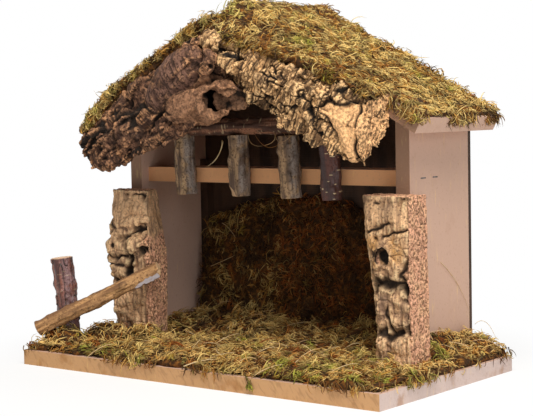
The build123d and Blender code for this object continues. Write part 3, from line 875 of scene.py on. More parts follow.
RIGHT_BARK_LUMPS = (
    Lump((0, -50, 257), (11, 9, 9), -28),
    Lump((22, -58, 240), (9, 6, 8), -28),
    Lump((60, -60, 226), (12, 5, 9), -28),
    Lump((84, -59, 216), (11, 5, 9), -28),
    Lump((104, -57, 216), (9, 5, 7), -28),
)
FACET_CORNER = np.array((105.0, -60.0, 207.0)) * MM
FACET_EDGE = np.array((0.861, 0.0, 0.509))
FACET_TOP = 209 * MM
SPLIT_INSET = 4 * MM
LEFT_BARK_LUMPS = {
    "lobe": Lump((-34, -57, 230), (34, 13, 16), 40),
    "lip": Lump((17, -56, 222), (16, 7, 5), -12),
    "stub": Lump((-21, -61, 208), (22, 8, 12), 14),
    "throat": Lump((21, -49, 214), (13, 6, 9), -12),
    "inner wall": Lump((8.6, -49.8, 212.5), (6, 6, 9)),
    "knob": Lump((2, -58, 240), (7, 6, 8)),
    "shards": Lump((-22, -54, 252), (16, 6, 6), 35),
    "upper ledge": Lump((-62, -59, 204), (13, 7, 5), 20),
    "middle ledge": Lump((-47, -58, 192), (14, 6, 5), 8),
    "inner ledge": Lump((-36, -55, 188), (10, 5, 4), 5),
    "lower ledge": Lump((-66, -54, 182), (13, 7, 5), 12),
    "end": Lump((-134, -47, 176), (9, 12, 12)),
    "twig": Lump((-141, -44, 190), (6, 6, 5)),
    "chin": Lump((-105, -52, 171), (17, 11, 12), 10),
    "side": Lump((-84, -56, 190), (14, 9, 15), 30),
    "shoulder": Lump((-76, -52, 222), (15, 8, 9), 30),
}
PALE_LUMPS = ("upper ledge", "middle ledge", "inner ledge", "lower ledge", "end", "knob", "shards")
KNOB_HOLE = Lump((8, -63, 237.5), (4.5, 4.5, 4))
STUB_MOUTH = np.array((8.0, -60.0, 211.7)) * MM
STUB_HEADING = np.array((math.cos(math.radians(40)), -math.sin(math.radians(40)), 0))
STUB_AXES = np.array(((0.94, -0.1, 0.33), (-0.33, 0.0, 0.94), (0.0, 1.0, 0.0)))
STUB_ASIDE = np.array((0.786, 0.618, 0.0))
CAVE_ASIDE = 9 * MM
CAVE_ABOVE = 1 * MM
CAVE_HALF_WIDTH = 19 * MM
CAVE_HALF_HEIGHT = 9 * MM
STUB_LENGTH = 44 * MM
STUB_REACH = 18 * MM
STUB_BORE = 10.5 * MM
STUB_BORE_DEPTH = 24 * MM
STRIA_WIDTH = 2.4 * MM
STRIA_TURN = 1.3
STRIA_STRETCH = 0.15


def on_slope(points, side):
    """Points in the axes of one roof slope: down it, out of it and front to back."""
    down = np.array((side * math.cos(ROOF_SLOPE), 0, -math.sin(ROOF_SLOPE)))
    out = np.array((side * math.sin(ROOF_SLOPE), 0, math.cos(ROOF_SLOPE)))
    return np.stack([points @ down, points @ out, points[:, 1]], axis=-1)


def pores(points, size, seed):
    """Small pits of sawn cork, 1 in a pit."""
    return patches(points * (1, 1, 0.8), size, seed, 0.1, 0.35)


def striae(local, traits, size, seed):
    """Fine lines from 0 to 1 that cross each plate at its own slant."""
    turn = STRIA_TURN * (traits[:, 2] - 0.5)
    line = local[:, 0] * np.cos(turn) + local[:, 1] * np.sin(turn)
    cross = local[:, 1] * np.cos(turn) - local[:, 0] * np.sin(turn)
    shifted = STRIA_STRETCH * local[:, 2] + traits[:, 0] * 0.1
    field = np.stack([line, STRIA_STRETCH * cross, shifted], axis=-1)
    return 0.5 + 0.5 * ripple(field, size, seed)


def make_right_roof_bark(sizes, finish):
    """Blocky striated plates, a sawn end and a broken corner before it."""
    node = "right_roof_bark"
    skin = Skin(node + "_skin", solid_copy(node, RIGHT_BARK_LUMPS), sizes.bark_detail, ease=1)
    points, normals = skin.points, skin.normals
    local = on_slope(points, 1)
    end = points[:, 0].max()
    front = smooth_step(0.15, 0.5, -normals[:, 1])
    plates = split_plates(local * (0.8, 1, 1), sizes.plate_size, 11, gap=0.1)
    chips = split_plates(local, sizes.plate_size * 0.45, 31, gap=0.12)
    lines = striae(local, plates.traits, STRIA_WIDTH, 41)
    ridges = billow(warp(local * (0.4, 1, 0.8), 8 * MM, 3 * MM, 97), 10 * MM, 99)
    sawn = smooth_step(0.55, 0.85, normals[:, 0]) * smooth_step(end - 5 * MM, end - 2 * MM, points[:, 0])
    inside = (points - FACET_CORNER) @ FACET_EDGE + 3 * MM * roughness_of(points, 11 * MM, 51, layers=2)
    under = FACET_TOP - points[:, 2] + 3 * MM * ripple(points, 8 * MM, 55)
    rim = np.minimum(inside, under)
    broken = smooth_step(0, 1.4 * MM, rim) * front
    bare = np.maximum(sawn, broken)
    rough = 1 - bare
    skin.push += rough * (sizes.plate_step * plates.height + 4 * MM * plates.lean)
    skin.push += rough * (1.2 * MM * chips.height + 1.5 * MM * (lines - 0.5))
    skin.push += rough * 0.6 * MM * roughness_of(points, 4 * MM, 81)
    skin.push += bare * 1.4 * MM * roughness_of(points, 7 * MM, 91) - 1.2 * MM * broken
    skin.push += rough * 1.4 * MM * (ridges - 0.4)
    # Painted shade: each cut below sinks the skin and darkens it, in the folds between ridges, the plate and
    # chip cracks, the seam round the broken corner, the split and the veins; the pores are partly their own
    # dark, partly painted shade.
    skin.cut(rough * bump(ridges, 0.07), 0.8 * MM, 0.5)
    skin.cut(rough * plates.crack, sizes.crack_depth, 0.95)
    skin.cut(rough * chips.crack, 0.9 * MM, 0.4)
    seam = bump(rim, 1.1 * MM) * front * (1 - sawn)
    skin.cut(seam * patches(points, 9 * MM, 57, -0.3, 0.3), 2 * MM, 0.85)
    split = bump(points[:, 0] - end + SPLIT_INSET + 1.5 * MM * ripple(points, 8 * MM, 71), 1.2 * MM)
    skin.cut(split * broken * patches(points, 13 * MM, 73, -0.7, -0.2), 3 * MM, 1.0)
    veins = bump(ripple(warp(points, 6 * MM, 2 * MM, 75), 11 * MM, 77), 0.07)
    skin.cut(veins * broken * patches(points, 12 * MM, 79, -0.3, 0.2), 1.4 * MM, 0.7)
    pitted = patches(points, 9 * MM, 63, -0.6, 0.1) * bare
    skin.cut(pores(points, sizes.pore_size, 61) * pitted * (0.25 + 0.75 * sawn), sizes.pore_depth, 0.7)
    ragged = smooth_step(0.35, 0.8, -normals[:, 2]) + smooth_step(end - 4 * MM, end, points[:, 0])
    skin.shift += np.clip(ragged, 0, 1)[:, None] * 2.2 * MM * (warp(points, 5 * MM, 1, 95) - points)
    marks = {"tone": 0.6 * plates.traits[:, 0] + 0.4 * chips.traits[:, 0]}
    marks["bare"] = np.maximum(sawn, 0.8 * broken)
    marks |= {"lobe": np.zeros(len(points)), "layers": (1 - lines) * rough}
    skin.write_bark(marks)
    dress(skin.piece, finish, "cork", node)


def make_left_roof_bark(sizes, finish):
    """Craggy lumps, a smooth swelling and a hollow broken stub."""
    node = "left_roof_bark"
    form = solid_copy(node, LEFT_BARK_LUMPS.values())
    skin = Skin(node + "_skin", form, sizes.bark_detail, ease=3)
    points, normals = skin.points, skin.normals
    local = on_slope(points, -1)
    lobe_depth = LEFT_BARK_LUMPS["lobe"].depth(points)
    lobe = 1 - smooth_step(0.98, 1.15, lobe_depth + 0.12 * ripple(points, 12 * MM, 3))
    behind = -(points - STUB_MOUTH) @ STUB_HEADING
    radial = points - STUB_MOUTH + np.outer(behind, STUB_HEADING)
    reach = np.linalg.norm(radial, axis=-1)
    stub = (1 - smooth_step(STUB_REACH, STUB_REACH * 1.25, reach)) * smooth_step(-16 * MM, -10 * MM, behind)
    stub *= 1 - smooth_step(STUB_LENGTH * 0.75, STUB_LENGTH, behind)
    inward = -(normals * radial).sum(axis=-1) / np.maximum(reach, 0.1 * MM)
    bore = (reach < STUB_BORE) & (behind < STUB_BORE_DEPTH) & (behind > -1 * MM)
    # Painted shade in the bore: its inward-looking walls and its deep part go dark.
    bore_painted_shade = bore * (0.35 * smooth_step(-0.2, 0.3, inward) + 0.65 * smooth_step(4 * MM, 13 * MM, behind))
    body = LEFT_BARK_LUMPS["stub"].within(points, 1.0, 1.2)
    body *= smooth_step(-44 * MM, -22 * MM, points[:, 0] + 6 * MM * ripple(points, 9 * MM, 17))
    stub = np.maximum(stub, body) * (1 - lobe)
    calm = np.maximum(lobe, stub)
    rough = 1 - calm
    coarse = smooth_step(-105 * MM, -75 * MM, points[:, 0])
    crags = split_plates(local * (0.4, 1, 1), sizes.lump_size, 13, gap=0.26, blocky=2)
    chips = split_plates(local * (0.7, 1, 1), sizes.lump_size * 0.42, 33, gap=0.14, blocky=3)
    nodules = billow(warp(local * (0.6, 1, 1), 5 * MM, 1.5 * MM, 7), sizes.lump_size * 0.6, 23)
    flakes = striae(local[:, (1, 0, 2)], crags.traits, STRIA_WIDTH, 37)
    skin.push += rough * (sizes.lump_height * crags.height + 4 * MM * crags.lean)
    skin.push += rough * (2.6 - 1.4 * coarse) * MM * (nodules - 0.4)
    # Painted shade in the folds between nodules and, below, in the crag and chip cracks.
    skin.cut(rough * bump(nodules, 0.1), 0.6 * MM, 0.45)
    skin.push += rough * (1.4 * MM * chips.height + 1.1 * MM * (flakes - 0.5))
    skin.push += rough * 0.5 * MM * roughness_of(points, 3 * MM, 63)
    skin.cut(rough * crags.crack, 3.0 * MM, 0.9)
    skin.cut(rough * chips.crack, 0.9 * MM, 0.4)
    wrinkle = ripple(local * (1.0, 0.25, 0.3), 2.2 * MM, 43)
    ribs = ripple(points @ STUB_AXES.T * (0.12, 1, 1), 2.8 * MM, 47)
    skin.push += lobe * (0.3 * MM * wrinkle + 1.2 * MM * roughness_of(points, 11 * MM, 53))
    skin.push += stub * (1.2 * MM * ribs + 2.4 * MM * roughness_of(points, 9 * MM, 59))
    # Painted shade in a fold round the lobe's front.
    fold = bump(lobe_depth - 1.12, 0.06) * smooth_step(-0.2, 0.4, -normals[:, 1])
    skin.cut(fold * patches(points, 14 * MM, 71, -0.5, 0.2), 2 * MM, 0.9)
    # A cave round the stub's opening: sunk, and darkened as painted shade.
    aside = (points - STUB_MOUTH) @ STUB_ASIDE - CAVE_ASIDE
    above = points[:, 2] - STUB_MOUTH[2] - CAVE_ABOVE
    cave = np.hypot(aside / CAVE_HALF_WIDTH, above / CAVE_HALF_HEIGHT)
    cave = cave + 0.18 * roughness_of(points, 6 * MM, 67)
    cave = (1 - smooth_step(0.75, 1.05, cave)) * smooth_step(0.0, 0.4, normals @ STUB_HEADING)
    skin.cut(cave, 4 * MM, 0.4)
    # Painted shade on the throat and the inner wall, in the bore, and in the knob hole, which is also sunk.
    for name in ("throat", "inner wall"):
        skin.cut(LEFT_BARK_LUMPS[name].within(points, 0.95, 1.2), 0.0, 0.5)
    skin.cut(bore_painted_shade, 0.0, 1.0)
    skin.cut(KNOB_HOLE.within(points, 0.55, 0.8), 3.5 * MM, 1.0)
    rim = (1 - smooth_step(0, 9 * MM, np.abs(behind))) * stub
    jagged = 3.6 * MM * rim * roughness_of(radial + 0.2 * points, 7 * MM, 73)
    skin.shift += np.outer(jagged, STUB_HEADING)
    tone = 0.5 * chips.traits[:, 0] + 0.5 * crags.traits[:, 0]
    for name in PALE_LUMPS:
        tone += 0.7 * LEFT_BARK_LUMPS[name].within(points, 0.85, 1.3)
    marks = {"tone": tone, "bare": stub * 0.6, "lobe": lobe}
    marks["layers"] = np.where(calm > 0.5, 0.5 + 0.5 * np.where(stub > lobe, ribs, wrinkle), 1 - flakes)
    skin.write_bark(marks)
    dress(skin.piece, finish, "cork", node)


# Bark posts


class Crevice(typing.NamedTuple):
    """A split in the front of a post: its run in the front view, half width and depth in millimetres."""

    run: tuple
    half: float
    depth: float

    def away(self, points, seed):
        """Distance from the bottom of the split, 1 at its edge."""
        flat = points[:, (0, 2)] / MM
        wave = [roughness_of(points, 7 * MM, seed + k, layers=2) for k in range(2)]
        flat = flat + 2.2 * np.stack(wave, axis=-1)
        near = np.full(len(points), FAR)
        for start, end in zip(self.run, self.run[1:]):
            way = np.subtract(end, start)
            part = np.clip((flat - start) @ way / (way @ way), 0, 1)
            near = np.minimum(near, np.linalg.norm(flat - start - part[:, None] * way, axis=-1))
        return near / (self.half * (1 + 0.7 * ripple(points, 5 * MM, seed + 2)))


class Post(typing.NamedTuple):
    """One bark post: what is carved into it, in millimetres, and its tones.

    Its side is sawn up to cut_top and bays in by bay; warm is the height of a yellowed band.
    """

    node: str
    seed: int
    lumps: tuple
    crevices: tuple
    hole: Lump
    cut_top: float
    bay: float
    tone: float
    warm: float


NO_BAND = -100
BAY_HEIGHT = 86
LEFT_POST = Post(
    node="left_bark_post",
    seed=101,
    lumps=(
        Lump((-107, -24, 96), (10, 8, 8)),
        Lump((-136, -19, 96), (8, 7, 7)),
        Lump((-112, -23, 114), (17, 6, 6), 10),
        Lump((-131, -18, 111), (11, 5, 6)),
        Lump((-126, -20, 68), (11, 5, 8)),
    ),
    crevices=(
        Crevice(((-124, 137), (-112, 136), (-99, 138)), 0.9, 2.5),
        Crevice(((-146, 137), (-144, 120), (-139, 108)), 1.6, 2.5),
        Crevice(((-122, 101), (-112, 105), (-96, 112)), 1.5, 5),
        Crevice(((-116, 95), (-114, 84), (-118, 72)), 2.2, 7),
        Crevice(((-101, 91), (-94, 94)), 2.4, 7),
        Crevice(((-145, 86), (-132, 84), (-121, 85)), 1.3, 4),
        Crevice(((-144, 79), (-124, 78)), 1.0, 3),
        Crevice(((-147, 101), (-137, 106), (-127, 101)), 1.3, 4),
        Crevice(((-140, 66), (-120, 62)), 1.5, 4),
    ),
    hole=Lump((-135, -25, 94), (2.2, 6, 2.2)),
    cut_top=105,
    bay=0,
    tone=0.3,
    warm=NO_BAND,
)
RIGHT_POST = Post(
    node="right_bark_post",
    seed=202,
    lumps=(Lump((131, -17, 89.3), (7, 6, 1.6)),),
    crevices=(
        Crevice(((126, 110), (140, 114), (153, 117)), 0.9, 3),
        Crevice(((117, 113), (128, 117), (138, 122)), 1.2, 2.5),
        Crevice(((118, 137), (127, 134)), 1.4, 2.5),
        Crevice(((149, 139), (155, 136)), 1.5, 4),
        Crevice(((118, 73), (126, 77), (134, 78), (148, 76), (153, 72)), 2.4, 6),
        Crevice(((151, 92), (147, 82), (154, 70), (155, 44)), 1.6, 5),
        Crevice(((125, 42), (136, 38), (147, 43)), 2.0, 5),
        Crevice(((124, 58), (140, 55)), 0.8, 1.5),
        Crevice(((136, 70), (135, 52), (138, 42)), 1.1, 3),
        Crevice(((121, 100), (118, 84), (120, 66)), 1.3, 3),
    ),
    hole=Lump((131, -20, 96.5), (7, 9, 6.3)),
    cut_top=150,
    bay=6,
    tone=0.1,
    warm=98,
)


def make_bark_post(post, sizes, finish):
    """A split post: crevices and pillows in front, sawn porous side and top."""
    skin = Skin(post.node + "_skin", solid_copy(post.node, post.lumps), sizes.post_detail, ease=2)
    points, normals = skin.points, skin.normals
    seed = post.seed
    x, z = points[:, 0], points[:, 2]
    edge = x[normals[:, 0] > 0.8].mean()
    bay = post.bay * MM * bump(z - BAY_HEIGHT * MM, 9 * MM)
    past = x - edge + bay + 1 * MM + 2.2 * MM * ripple(points, 13 * MM, seed)
    beyond = smooth_step(0, 1 * MM, past) * smooth_step(0.3, 0.7, -normals[:, 1])
    cut = np.maximum(beyond, smooth_step(0.5, 0.8, normals[:, 0]))
    height = z - post.cut_top * MM + 6 * MM * ripple(points, 12 * MM, seed + 3)
    cut *= 1 - smooth_step(-4 * MM, 4 * MM, height)
    top = smooth_step(0.6, 0.85, normals[:, 2]) * smooth_step(-5 * MM, -2 * MM, z - z.max())
    cut = np.maximum(cut, top)
    front = smooth_step(0.1, 0.5, -normals[:, 1]) * (1 - cut)
    plates = split_plates(points * (0.6, 1, 1), 8 * MM, seed + 7, gap=0.12, blocky=3)
    grain = ripple(points * (1, 1, 0.14), 1.6 * MM, seed + 57)
    upper = smooth_step(112 * MM, 122 * MM, z)
    swell = billow(warp(points, 7 * MM, 2 * MM, seed + 11), 16 * MM, seed + 13)
    skin.push += front * (1 - 0.7 * upper) * (3.6 * MM * (swell - 0.4) + 1.2 * MM * plates.height)
    skin.push += (0.3 + 0.7 * front) * 0.6 * MM * grain + 0.5 * MM * roughness_of(points, 5 * MM, seed + 67)
    # Painted shade in the plate cracks.
    skin.cut(front * (1 - 0.6 * upper) * plates.crack, 0.8 * MM, 0.25)
    facing = smooth_step(0.0, 0.4, -normals[:, 1])
    patchy = patches(points, 5 * MM, seed + 39, -0.6, 0.4)
    # Painted shade: each crevice is sunk and darkened, and a wider halo round it is darkened by its depth.
    for place, crevice in enumerate(post.crevices):
        away = crevice.away(points, seed + 29 + 3 * place)
        share = (1 - smooth_step(0.2, 2.0, away)) * facing
        share *= patches(points, 8 * MM, seed + 37 + place, -0.8, -0.2)
        skin.cut(share, 0.6 * crevice.depth * MM, 0.85)
        halo_painted_shade = (1 - smooth_step(0.8, 5.0, away)) * front * patchy
        skin.cut(halo_painted_shade, 0.3 * crevice.depth * MM, 0.13 * crevice.depth)
    # Painted shade along the sunk edge of the sawn side; the pores are partly their own dark, partly painted
    # shade.
    brink = bump(past, 1.6 * MM) * facing * patches(points, 12 * MM, seed + 47, -0.3, 0.3)
    skin.cut(brink * (z < post.cut_top * MM), 1.5 * MM, 0.6)
    skin.cut(pores(points, sizes.pore_size, seed + 77) * cut, sizes.pore_depth, 0.35)
    # The knot hole is sunk and painted black as shade.
    hole = post.hole.depth(points) + 0.12 * ripple(points, 4 * MM, seed + 83)
    skin.cut(1 - smooth_step(0.8, 1.1, hole), 1.0 * MM, 1.0)
    # Painted highlight and shade: the tone is lighter on swellings and darker in the folds between them; it
    # is also lighter towards the top.
    tone = post.tone + 0.5 * plates.traits[:, 0] + 0.8 * (swell - 0.2) + 0.25 * upper
    warm = bump(z - post.warm * MM, 16 * MM) * front
    warm *= patches(points, 12 * MM, seed + 91, -0.6, 0.3)
    marks = {"tone": tone, "bare": cut, "lobe": 0.75 * warm, "layers": (0.5 - 0.5 * grain) * (1 - cut)}
    skin.write_bark(marks)
    dress(skin.piece, finish, "cork", post.node)


# Branches


class Chip(typing.NamedTuple):
    """A flat cut: a place on it in millimetres and the way it faces."""

    place: tuple
    facing: tuple


STICK_CHIP = Chip((-26, -0.6, 141), (-0.55, -0.72, -0.42))
RAIL_CUT = Chip((-77.95, -30.05, 74.1), (0.663, -0.538, -0.519))
RAIL_END = (
    Lump((-85.0, -30.1, 74.1), (5.6, 5.6, 5.6)),
    Lump((-87.7, -31.7, 72.6), (5.8, 5.8, 5.8)),
    Lump((-90.8, -33.5, 70.9), (5.9, 5.9, 5.9)),
)
CHIP_REACH = 40 * MM


class Branch(typing.NamedTuple):
    """One branch: its bark, the depth of the furrows, its knots, and the shares of specks and of peeling."""

    node: str
    bark: str
    seed: int
    furrow: float
    knots: int
    specks: float = 0.0
    peel: float = 0.0
    chip: Chip = None
    sawn: bool = False
    lumps: tuple = ()


BRANCHES = (
    Branch("lintel_log", "brown_bark", 301, 1.6 * MM, 5, specks=0.35),
    Branch("hanging_stick_1", "olive_bark", 311, 1.6 * MM, 4, specks=0.2, peel=0.4),
    Branch("hanging_stick_2", "olive_bark", 322, 1.7 * MM, 5, peel=0.4, chip=STICK_CHIP),
    Branch("hanging_stick_3", "olive_bark", 333, 1.7 * MM, 5, peel=0.5),
    Branch("hanging_stick_4", "red_bark", 344, 0.5 * MM, 1, specks=1.0),
    Branch("fence_post", "purple_bark", 355, 1.2 * MM, 3, specks=0.2, peel=1.0),
    Branch("fence_rail", "tan_bark", 366, 1.8 * MM, 8, peel=0.4, chip=RAIL_CUT, sawn=True, lumps=RAIL_END),
)


def axis_of(points):
    """Middle and long direction of a straight branch."""
    middle = points.mean(axis=0)
    direction = np.linalg.svd(points - middle, full_matrices=False)[2][0]
    return middle, direction


def make_branch(branch, sizes, finish):
    """A branch with furrowed bark, knots and cut ends."""
    form = solid_copy(branch.node, branch.lumps)
    skin = Skin(branch.node + "_skin", form, sizes.branch_detail, ease=1)
    points, normals = skin.points, skin.normals
    seed, peel, chip = branch.seed, branch.peel, branch.chip
    middle, direction = axis_of(points)
    along = (points - middle) @ direction
    radial = points - middle - np.outer(along, direction)
    reach = np.linalg.norm(radial, axis=-1)
    widest = np.percentile(reach, 90)
    outward = radial / np.maximum(reach, 0.2 * MM)[:, None]
    stretched = radial + np.outer(along * 0.12, direction)
    streak = 0.5 + 0.5 * roughness_of(stretched, 3.2 * MM, seed)
    end = np.abs((normals * direction).sum(axis=-1))
    cut = smooth_step(0.55, 0.85, end) * smooth_step(1.02, 0.9, reach / widest)
    cut = np.maximum(cut, smooth_step(0.8, 0.68, reach / widest))
    push = branch.furrow * (streak - 0.5) + 0.6 * MM * roughness_of(points, 7 * MM, seed + 9)
    rng = np.random.default_rng(seed)
    for _ in range(branch.knots):
        spot = points[rng.integers(len(points))]
        push += 1.4 * MM * bump(np.linalg.norm(points - spot, axis=-1), 2.8 * MM)
    flakes = ripple(radial * 1.2 + np.outer(along * 0.4, direction), 5 * MM, seed + 21)
    lifted = peel * bump(flakes - 0.15, 0.09) * (1 - cut)
    push += peel * 1.1 * MM * smooth_step(0.1, 0.2, flakes)
    dashes = ripple(np.outer(along, direction) * 3 + radial * 0.7, 3.5 * MM, seed + 15)
    speck = branch.specks * smooth_step(0.6, 0.68, dashes) * (1 - cut)
    sway = 0.8 * MM * ripple(np.outer(along, direction), 40 * MM, seed + 5)
    skin.shift = outward * (push * (1 - 0.85 * cut))[:, None] + np.outer(sway * (1 - cut), UP)
    flat = np.zeros(len(points))
    if chip:
        facing = unit(np.array(chip.facing))
        place = np.array(chip.place) * MM
        over = np.maximum((skin.moved() - place) @ facing, 0)
        over *= np.linalg.norm(points - place, axis=-1) < CHIP_REACH
        skin.shift -= np.outer(over, facing)
        flat = smooth_step(0.0, 0.3 * MM, over)
    # Painted sheen: side marks the faces that look right and a little to the front.
    side = smooth_step(0.45, 0.85, outward[:, 0] - 0.1 * outward[:, 1]) * (1 - cut)
    marks = {"streak": streak, "speck": speck, "side": side, "peel": lifted}
    marks |= {"cut": np.maximum(cut, flat * (not branch.sawn)), "sawn": flat * branch.sawn}
    skin.write(marks)
    dress(skin.piece, finish, "branch", branch.node)


# Moss and straw

STRAND_SIDES = 3
STRAND_RINGS = 4
STRAW_RINGS = 9
MOST_STRANDS = 9000
STRAND_TAPER = 0.6
CELL_MARGIN = 0.1
MOUND_WIDTH = 13 * MM
PATCH_WIDTH = 22 * MM
RIDGE_REACH = 25 * MM
GREEN_REACH = 8 * MM
RUSSET_REACH = 30 * MM
STREWN_SPACING = 4 * MM
LENGTH_SPREAD = 0.35
RADIUS_SPREAD = 0.25
CURL_SPREAD = 2.6
FELT_FOOT = 1.5 * MM
FELT_SINK = 1.2 * MM
RIDGE_FLAT = (4 * MM, 16 * MM)
FRINGE_TRIES = 3
LAYER_SEEDS = 1000
LOOP_SHARE = 0.7
LEANING_SHARE = 0.8
ROOF_LEFT = "roof_moss_left"
ROOF_RIGHT = "roof_moss_right"
GROUND_FRONT = "ground_moss_front"
GROUND_INSIDE = "ground_moss_inside"
GROUND_RIGHT = "ground_moss_right"


class Tufts(typing.NamedTuple):
    """How the strands of one patch of moss grow and how they are tinted.

    Lengths are in metres, green_spots in millimetres; green, russet and dim are shares. The strands
    keep behind front_edge and are russet past russet_from.
    """

    heading: tuple
    spread: float
    lift: float
    droop: float
    green: float
    russet: float
    mound: float
    # Share of painted shade on the strands.
    dim: float = 0.0
    tone: float = 0.66
    green_spots: tuple = ()
    russet_from: float = FAR
    front_edge: float = -FAR
    ridge_sink: float = 0.0


class Bed(typing.NamedTuple):
    """A patch of moss that covers the faces of a CAD node which look at least so far towards facing."""

    node: str
    facing: tuple
    least: float
    tufts: Tufts
    seed: int
    layers: int = 1


class Heap(typing.NamedTuple):
    """Strands on the heaps of a patch of moss, a count for each heap."""

    name: str
    node: str
    facing: tuple
    count: int
    tufts: Tufts
    seed: int


class Fringe(typing.NamedTuple):
    """Strands along an edge of a patch of moss: its ends and the spread round it in millimetres."""

    name: str
    node: str
    start: tuple
    end: tuple
    spread: float
    facing: tuple
    count: int
    tufts: Tufts
    seed: int


MOSS_HEAPS = {
    ROOF_LEFT: (
        Lump((-30, -38, 265), (26, 11, 5), 28.5),
        Lump((-66, -38, 246), (28, 11, 5), 28.5),
        Lump((-104, -38, 226), (26, 11, 5), 26),
        Lump((-131, -39, 206), (19, 10, 5), 41),
    ),
    GROUND_FRONT: (
        Lump((-152, -66, 16), (22, 14, 13)),
        Lump((-122, -46, 18), (22, 14, 14)),
        Lump((-92, -34, 18), (18, 10, 12)),
    ),
}

ROOF_GREEN = ((-5, -30, 278), (82, 20, 238), (-138, -45, 197), (60, -20, 254), (112, 60, 226))
LEFT_SLOPE = Tufts(
    (-0.85, -0.35, -0.5),
    spread=2.4,
    lift=0.22,
    droop=1 * MM,
    green=0.45,
    russet=0.25,
    mound=1.9 * MM,
    tone=0.86,
    green_spots=ROOF_GREEN,
    front_edge=-46 * MM,
    ridge_sink=1.2 * MM,
)
RIGHT_SLOPE = LEFT_SLOPE._replace(heading=(0.85, -0.35, -0.5))
RIDGE = Tufts((0.3, 1, 0), spread=2.4, lift=0.05, droop=1 * MM, green=0.45, russet=0.25, mound=0.3 * MM)
VERGE = Tufts(
    (-0.85, 0, -0.5), spread=1.2, lift=0.2, droop=1 * MM, green=0.6, russet=0.1, mound=1 * MM, tone=0.86
)
DRAPED = Tufts((0.5, -0.3, -0.8), spread=2.0, lift=0.15, droop=2 * MM, green=0.5, russet=0.2, mound=0.5 * MM)
EAVE = Tufts((0.3, -0.2, -1), spread=0.5, lift=0.2, droop=3 * MM, green=0.5, russet=0.15, mound=0.5 * MM)
RISING = Tufts(
    (0.3, 0.2, 1), spread=0.5, lift=0.2, droop=0, green=1.0, russet=0.0, mound=0, green_spots=ROOF_GREEN
)
ROOF_BEDS = (
    Bed(ROOF_LEFT, UP, 0.1, LEFT_SLOPE, 401, layers=2),
    Bed(ROOF_RIGHT, UP, 0.1, RIGHT_SLOPE, 402, layers=2),
)
RIDGE_FRINGE = Fringe("ridge_strands", ROOF_RIGHT, (0, -20, 287.5), (0, 91, 287.5), 1.8, UP, 420, RIDGE, 418)
VERGE_HEAP = Heap("left_verge_strands", ROOF_LEFT, FRONT + 0.7 * UP, 1100, VERGE, 415)
ROOF_FRINGES = (
    Fringe("left_end_fringe", ROOF_LEFT, (-124, -50, 209), (-141, -49, 189), 2.5, FRONT, 260, VERGE, 419),
    Fringe("upper_verge_fringe", ROOF_RIGHT, (4, -48, 263), (70, -48, 245), 2.2, ASLANT, 420, DRAPED, 416),
    Fringe("lower_verge_fringe", ROOF_RIGHT, (70, -48, 245), (138, -48, 217), 2.2, ASLANT, 420, DRAPED, 417),
    Fringe("right_eave_fringe", ROOF_RIGHT, (165, -20, 196), (166, 92, 196), 1.5, RIGHTWARD, 460, EAVE, 411),
    Fringe("left_eave_fringe", ROOF_LEFT, (-165, -20, 196), (-166, 92, 196), 1.5, LEFTWARD, 460, EAVE, 412),
    Fringe("right_corner_fringe", ROOF_RIGHT, (132, -21, 213), (166, -21, 196), 1.5, FRONT, 300, EAVE, 414),
    Fringe("rear_edge_sprigs", ROOF_RIGHT, (92, 91, 240), (132, 91, 219), 1.5, FRONT, 60, RISING, 413),
)

GROUND_GREEN = (
    (117, -68, 26),
    (165, -68, 22),
    (46, -2, 26),
    (-91, 1, 26),
    (-55, -22, 26),
    (159, 13, 26),
    (-88, -86, 20),
    (-112, -88, 18),
    (76, -76, 24),
    (100, -88, 20),
    (127, -49, 26),
    (150, -88, 18),
)
OPEN_GROUND = Tufts(
    (0.6, -0.8, 0.0),
    spread=2.4,
    lift=0.4,
    droop=1 * MM,
    green=0.7,
    russet=1.1,
    mound=3.4 * MM,
    tone=0.88,
    green_spots=GROUND_GREEN,
)
# Moss inside the stable, dimmed as painted shade.
SHADED_GROUND = OPEN_GROUND._replace(lift=0.45, green=0.3, russet=1.0, dim=0.15, tone=0.78)
# The moss on the back panel, dimmed as painted shade.
REAR_WALL = Tufts(
    (0.2, 0.0, 1.0),
    spread=2.0,
    lift=0.5,
    droop=3 * MM,
    green=0.4,
    russet=1.2,
    mound=3 * MM,
    dim=0.22,
    russet_from=-45 * MM,
)
RIM = Tufts((0.2, -0.3, -1), spread=0.7, lift=0.2, droop=2 * MM, green=0.7, russet=0.2, mound=0.5 * MM)
SPRIG = RIM._replace(lift=0.3, green=1.0, russet=0.0, mound=0, green_spots=((63, -93, 9),))
GROUND_BEDS = (
    Bed(GROUND_FRONT, UP, 0.0, OPEN_GROUND, 501, layers=2),
    Bed(GROUND_INSIDE, UP, 0.0, SHADED_GROUND, 502),
    Bed("ground_moss_left", UP, 0.0, OPEN_GROUND, 503),
    Bed(GROUND_RIGHT, UP, 0.0, OPEN_GROUND, 504),
    Bed("back_moss", 0.8 * FRONT + 0.6 * UP, 0.1, REAR_WALL, 505),
)
FENCE_HEAP = Heap("fence_heap_strands", GROUND_FRONT, ASLANT, 650, OPEN_GROUND, 514)
GROUND_FRINGES = (
    Fringe("front_edge_fringe", GROUND_FRONT, (-172, -92.5, 13), (172, -92.5, 13), 1.2, FRONT, 260, RIM, 511),
    Fringe("front_edge_sprig", GROUND_FRONT, (62, -92.5, 13), (65, -92.5, 5), 0.8, FRONT, 16, SPRIG, 513),
    Fringe("right_edge_fringe", GROUND_RIGHT, (175.5, -88, 13), (175.5, 90, 13), 1.2, RIGHT, 150, RIM, 512),
)

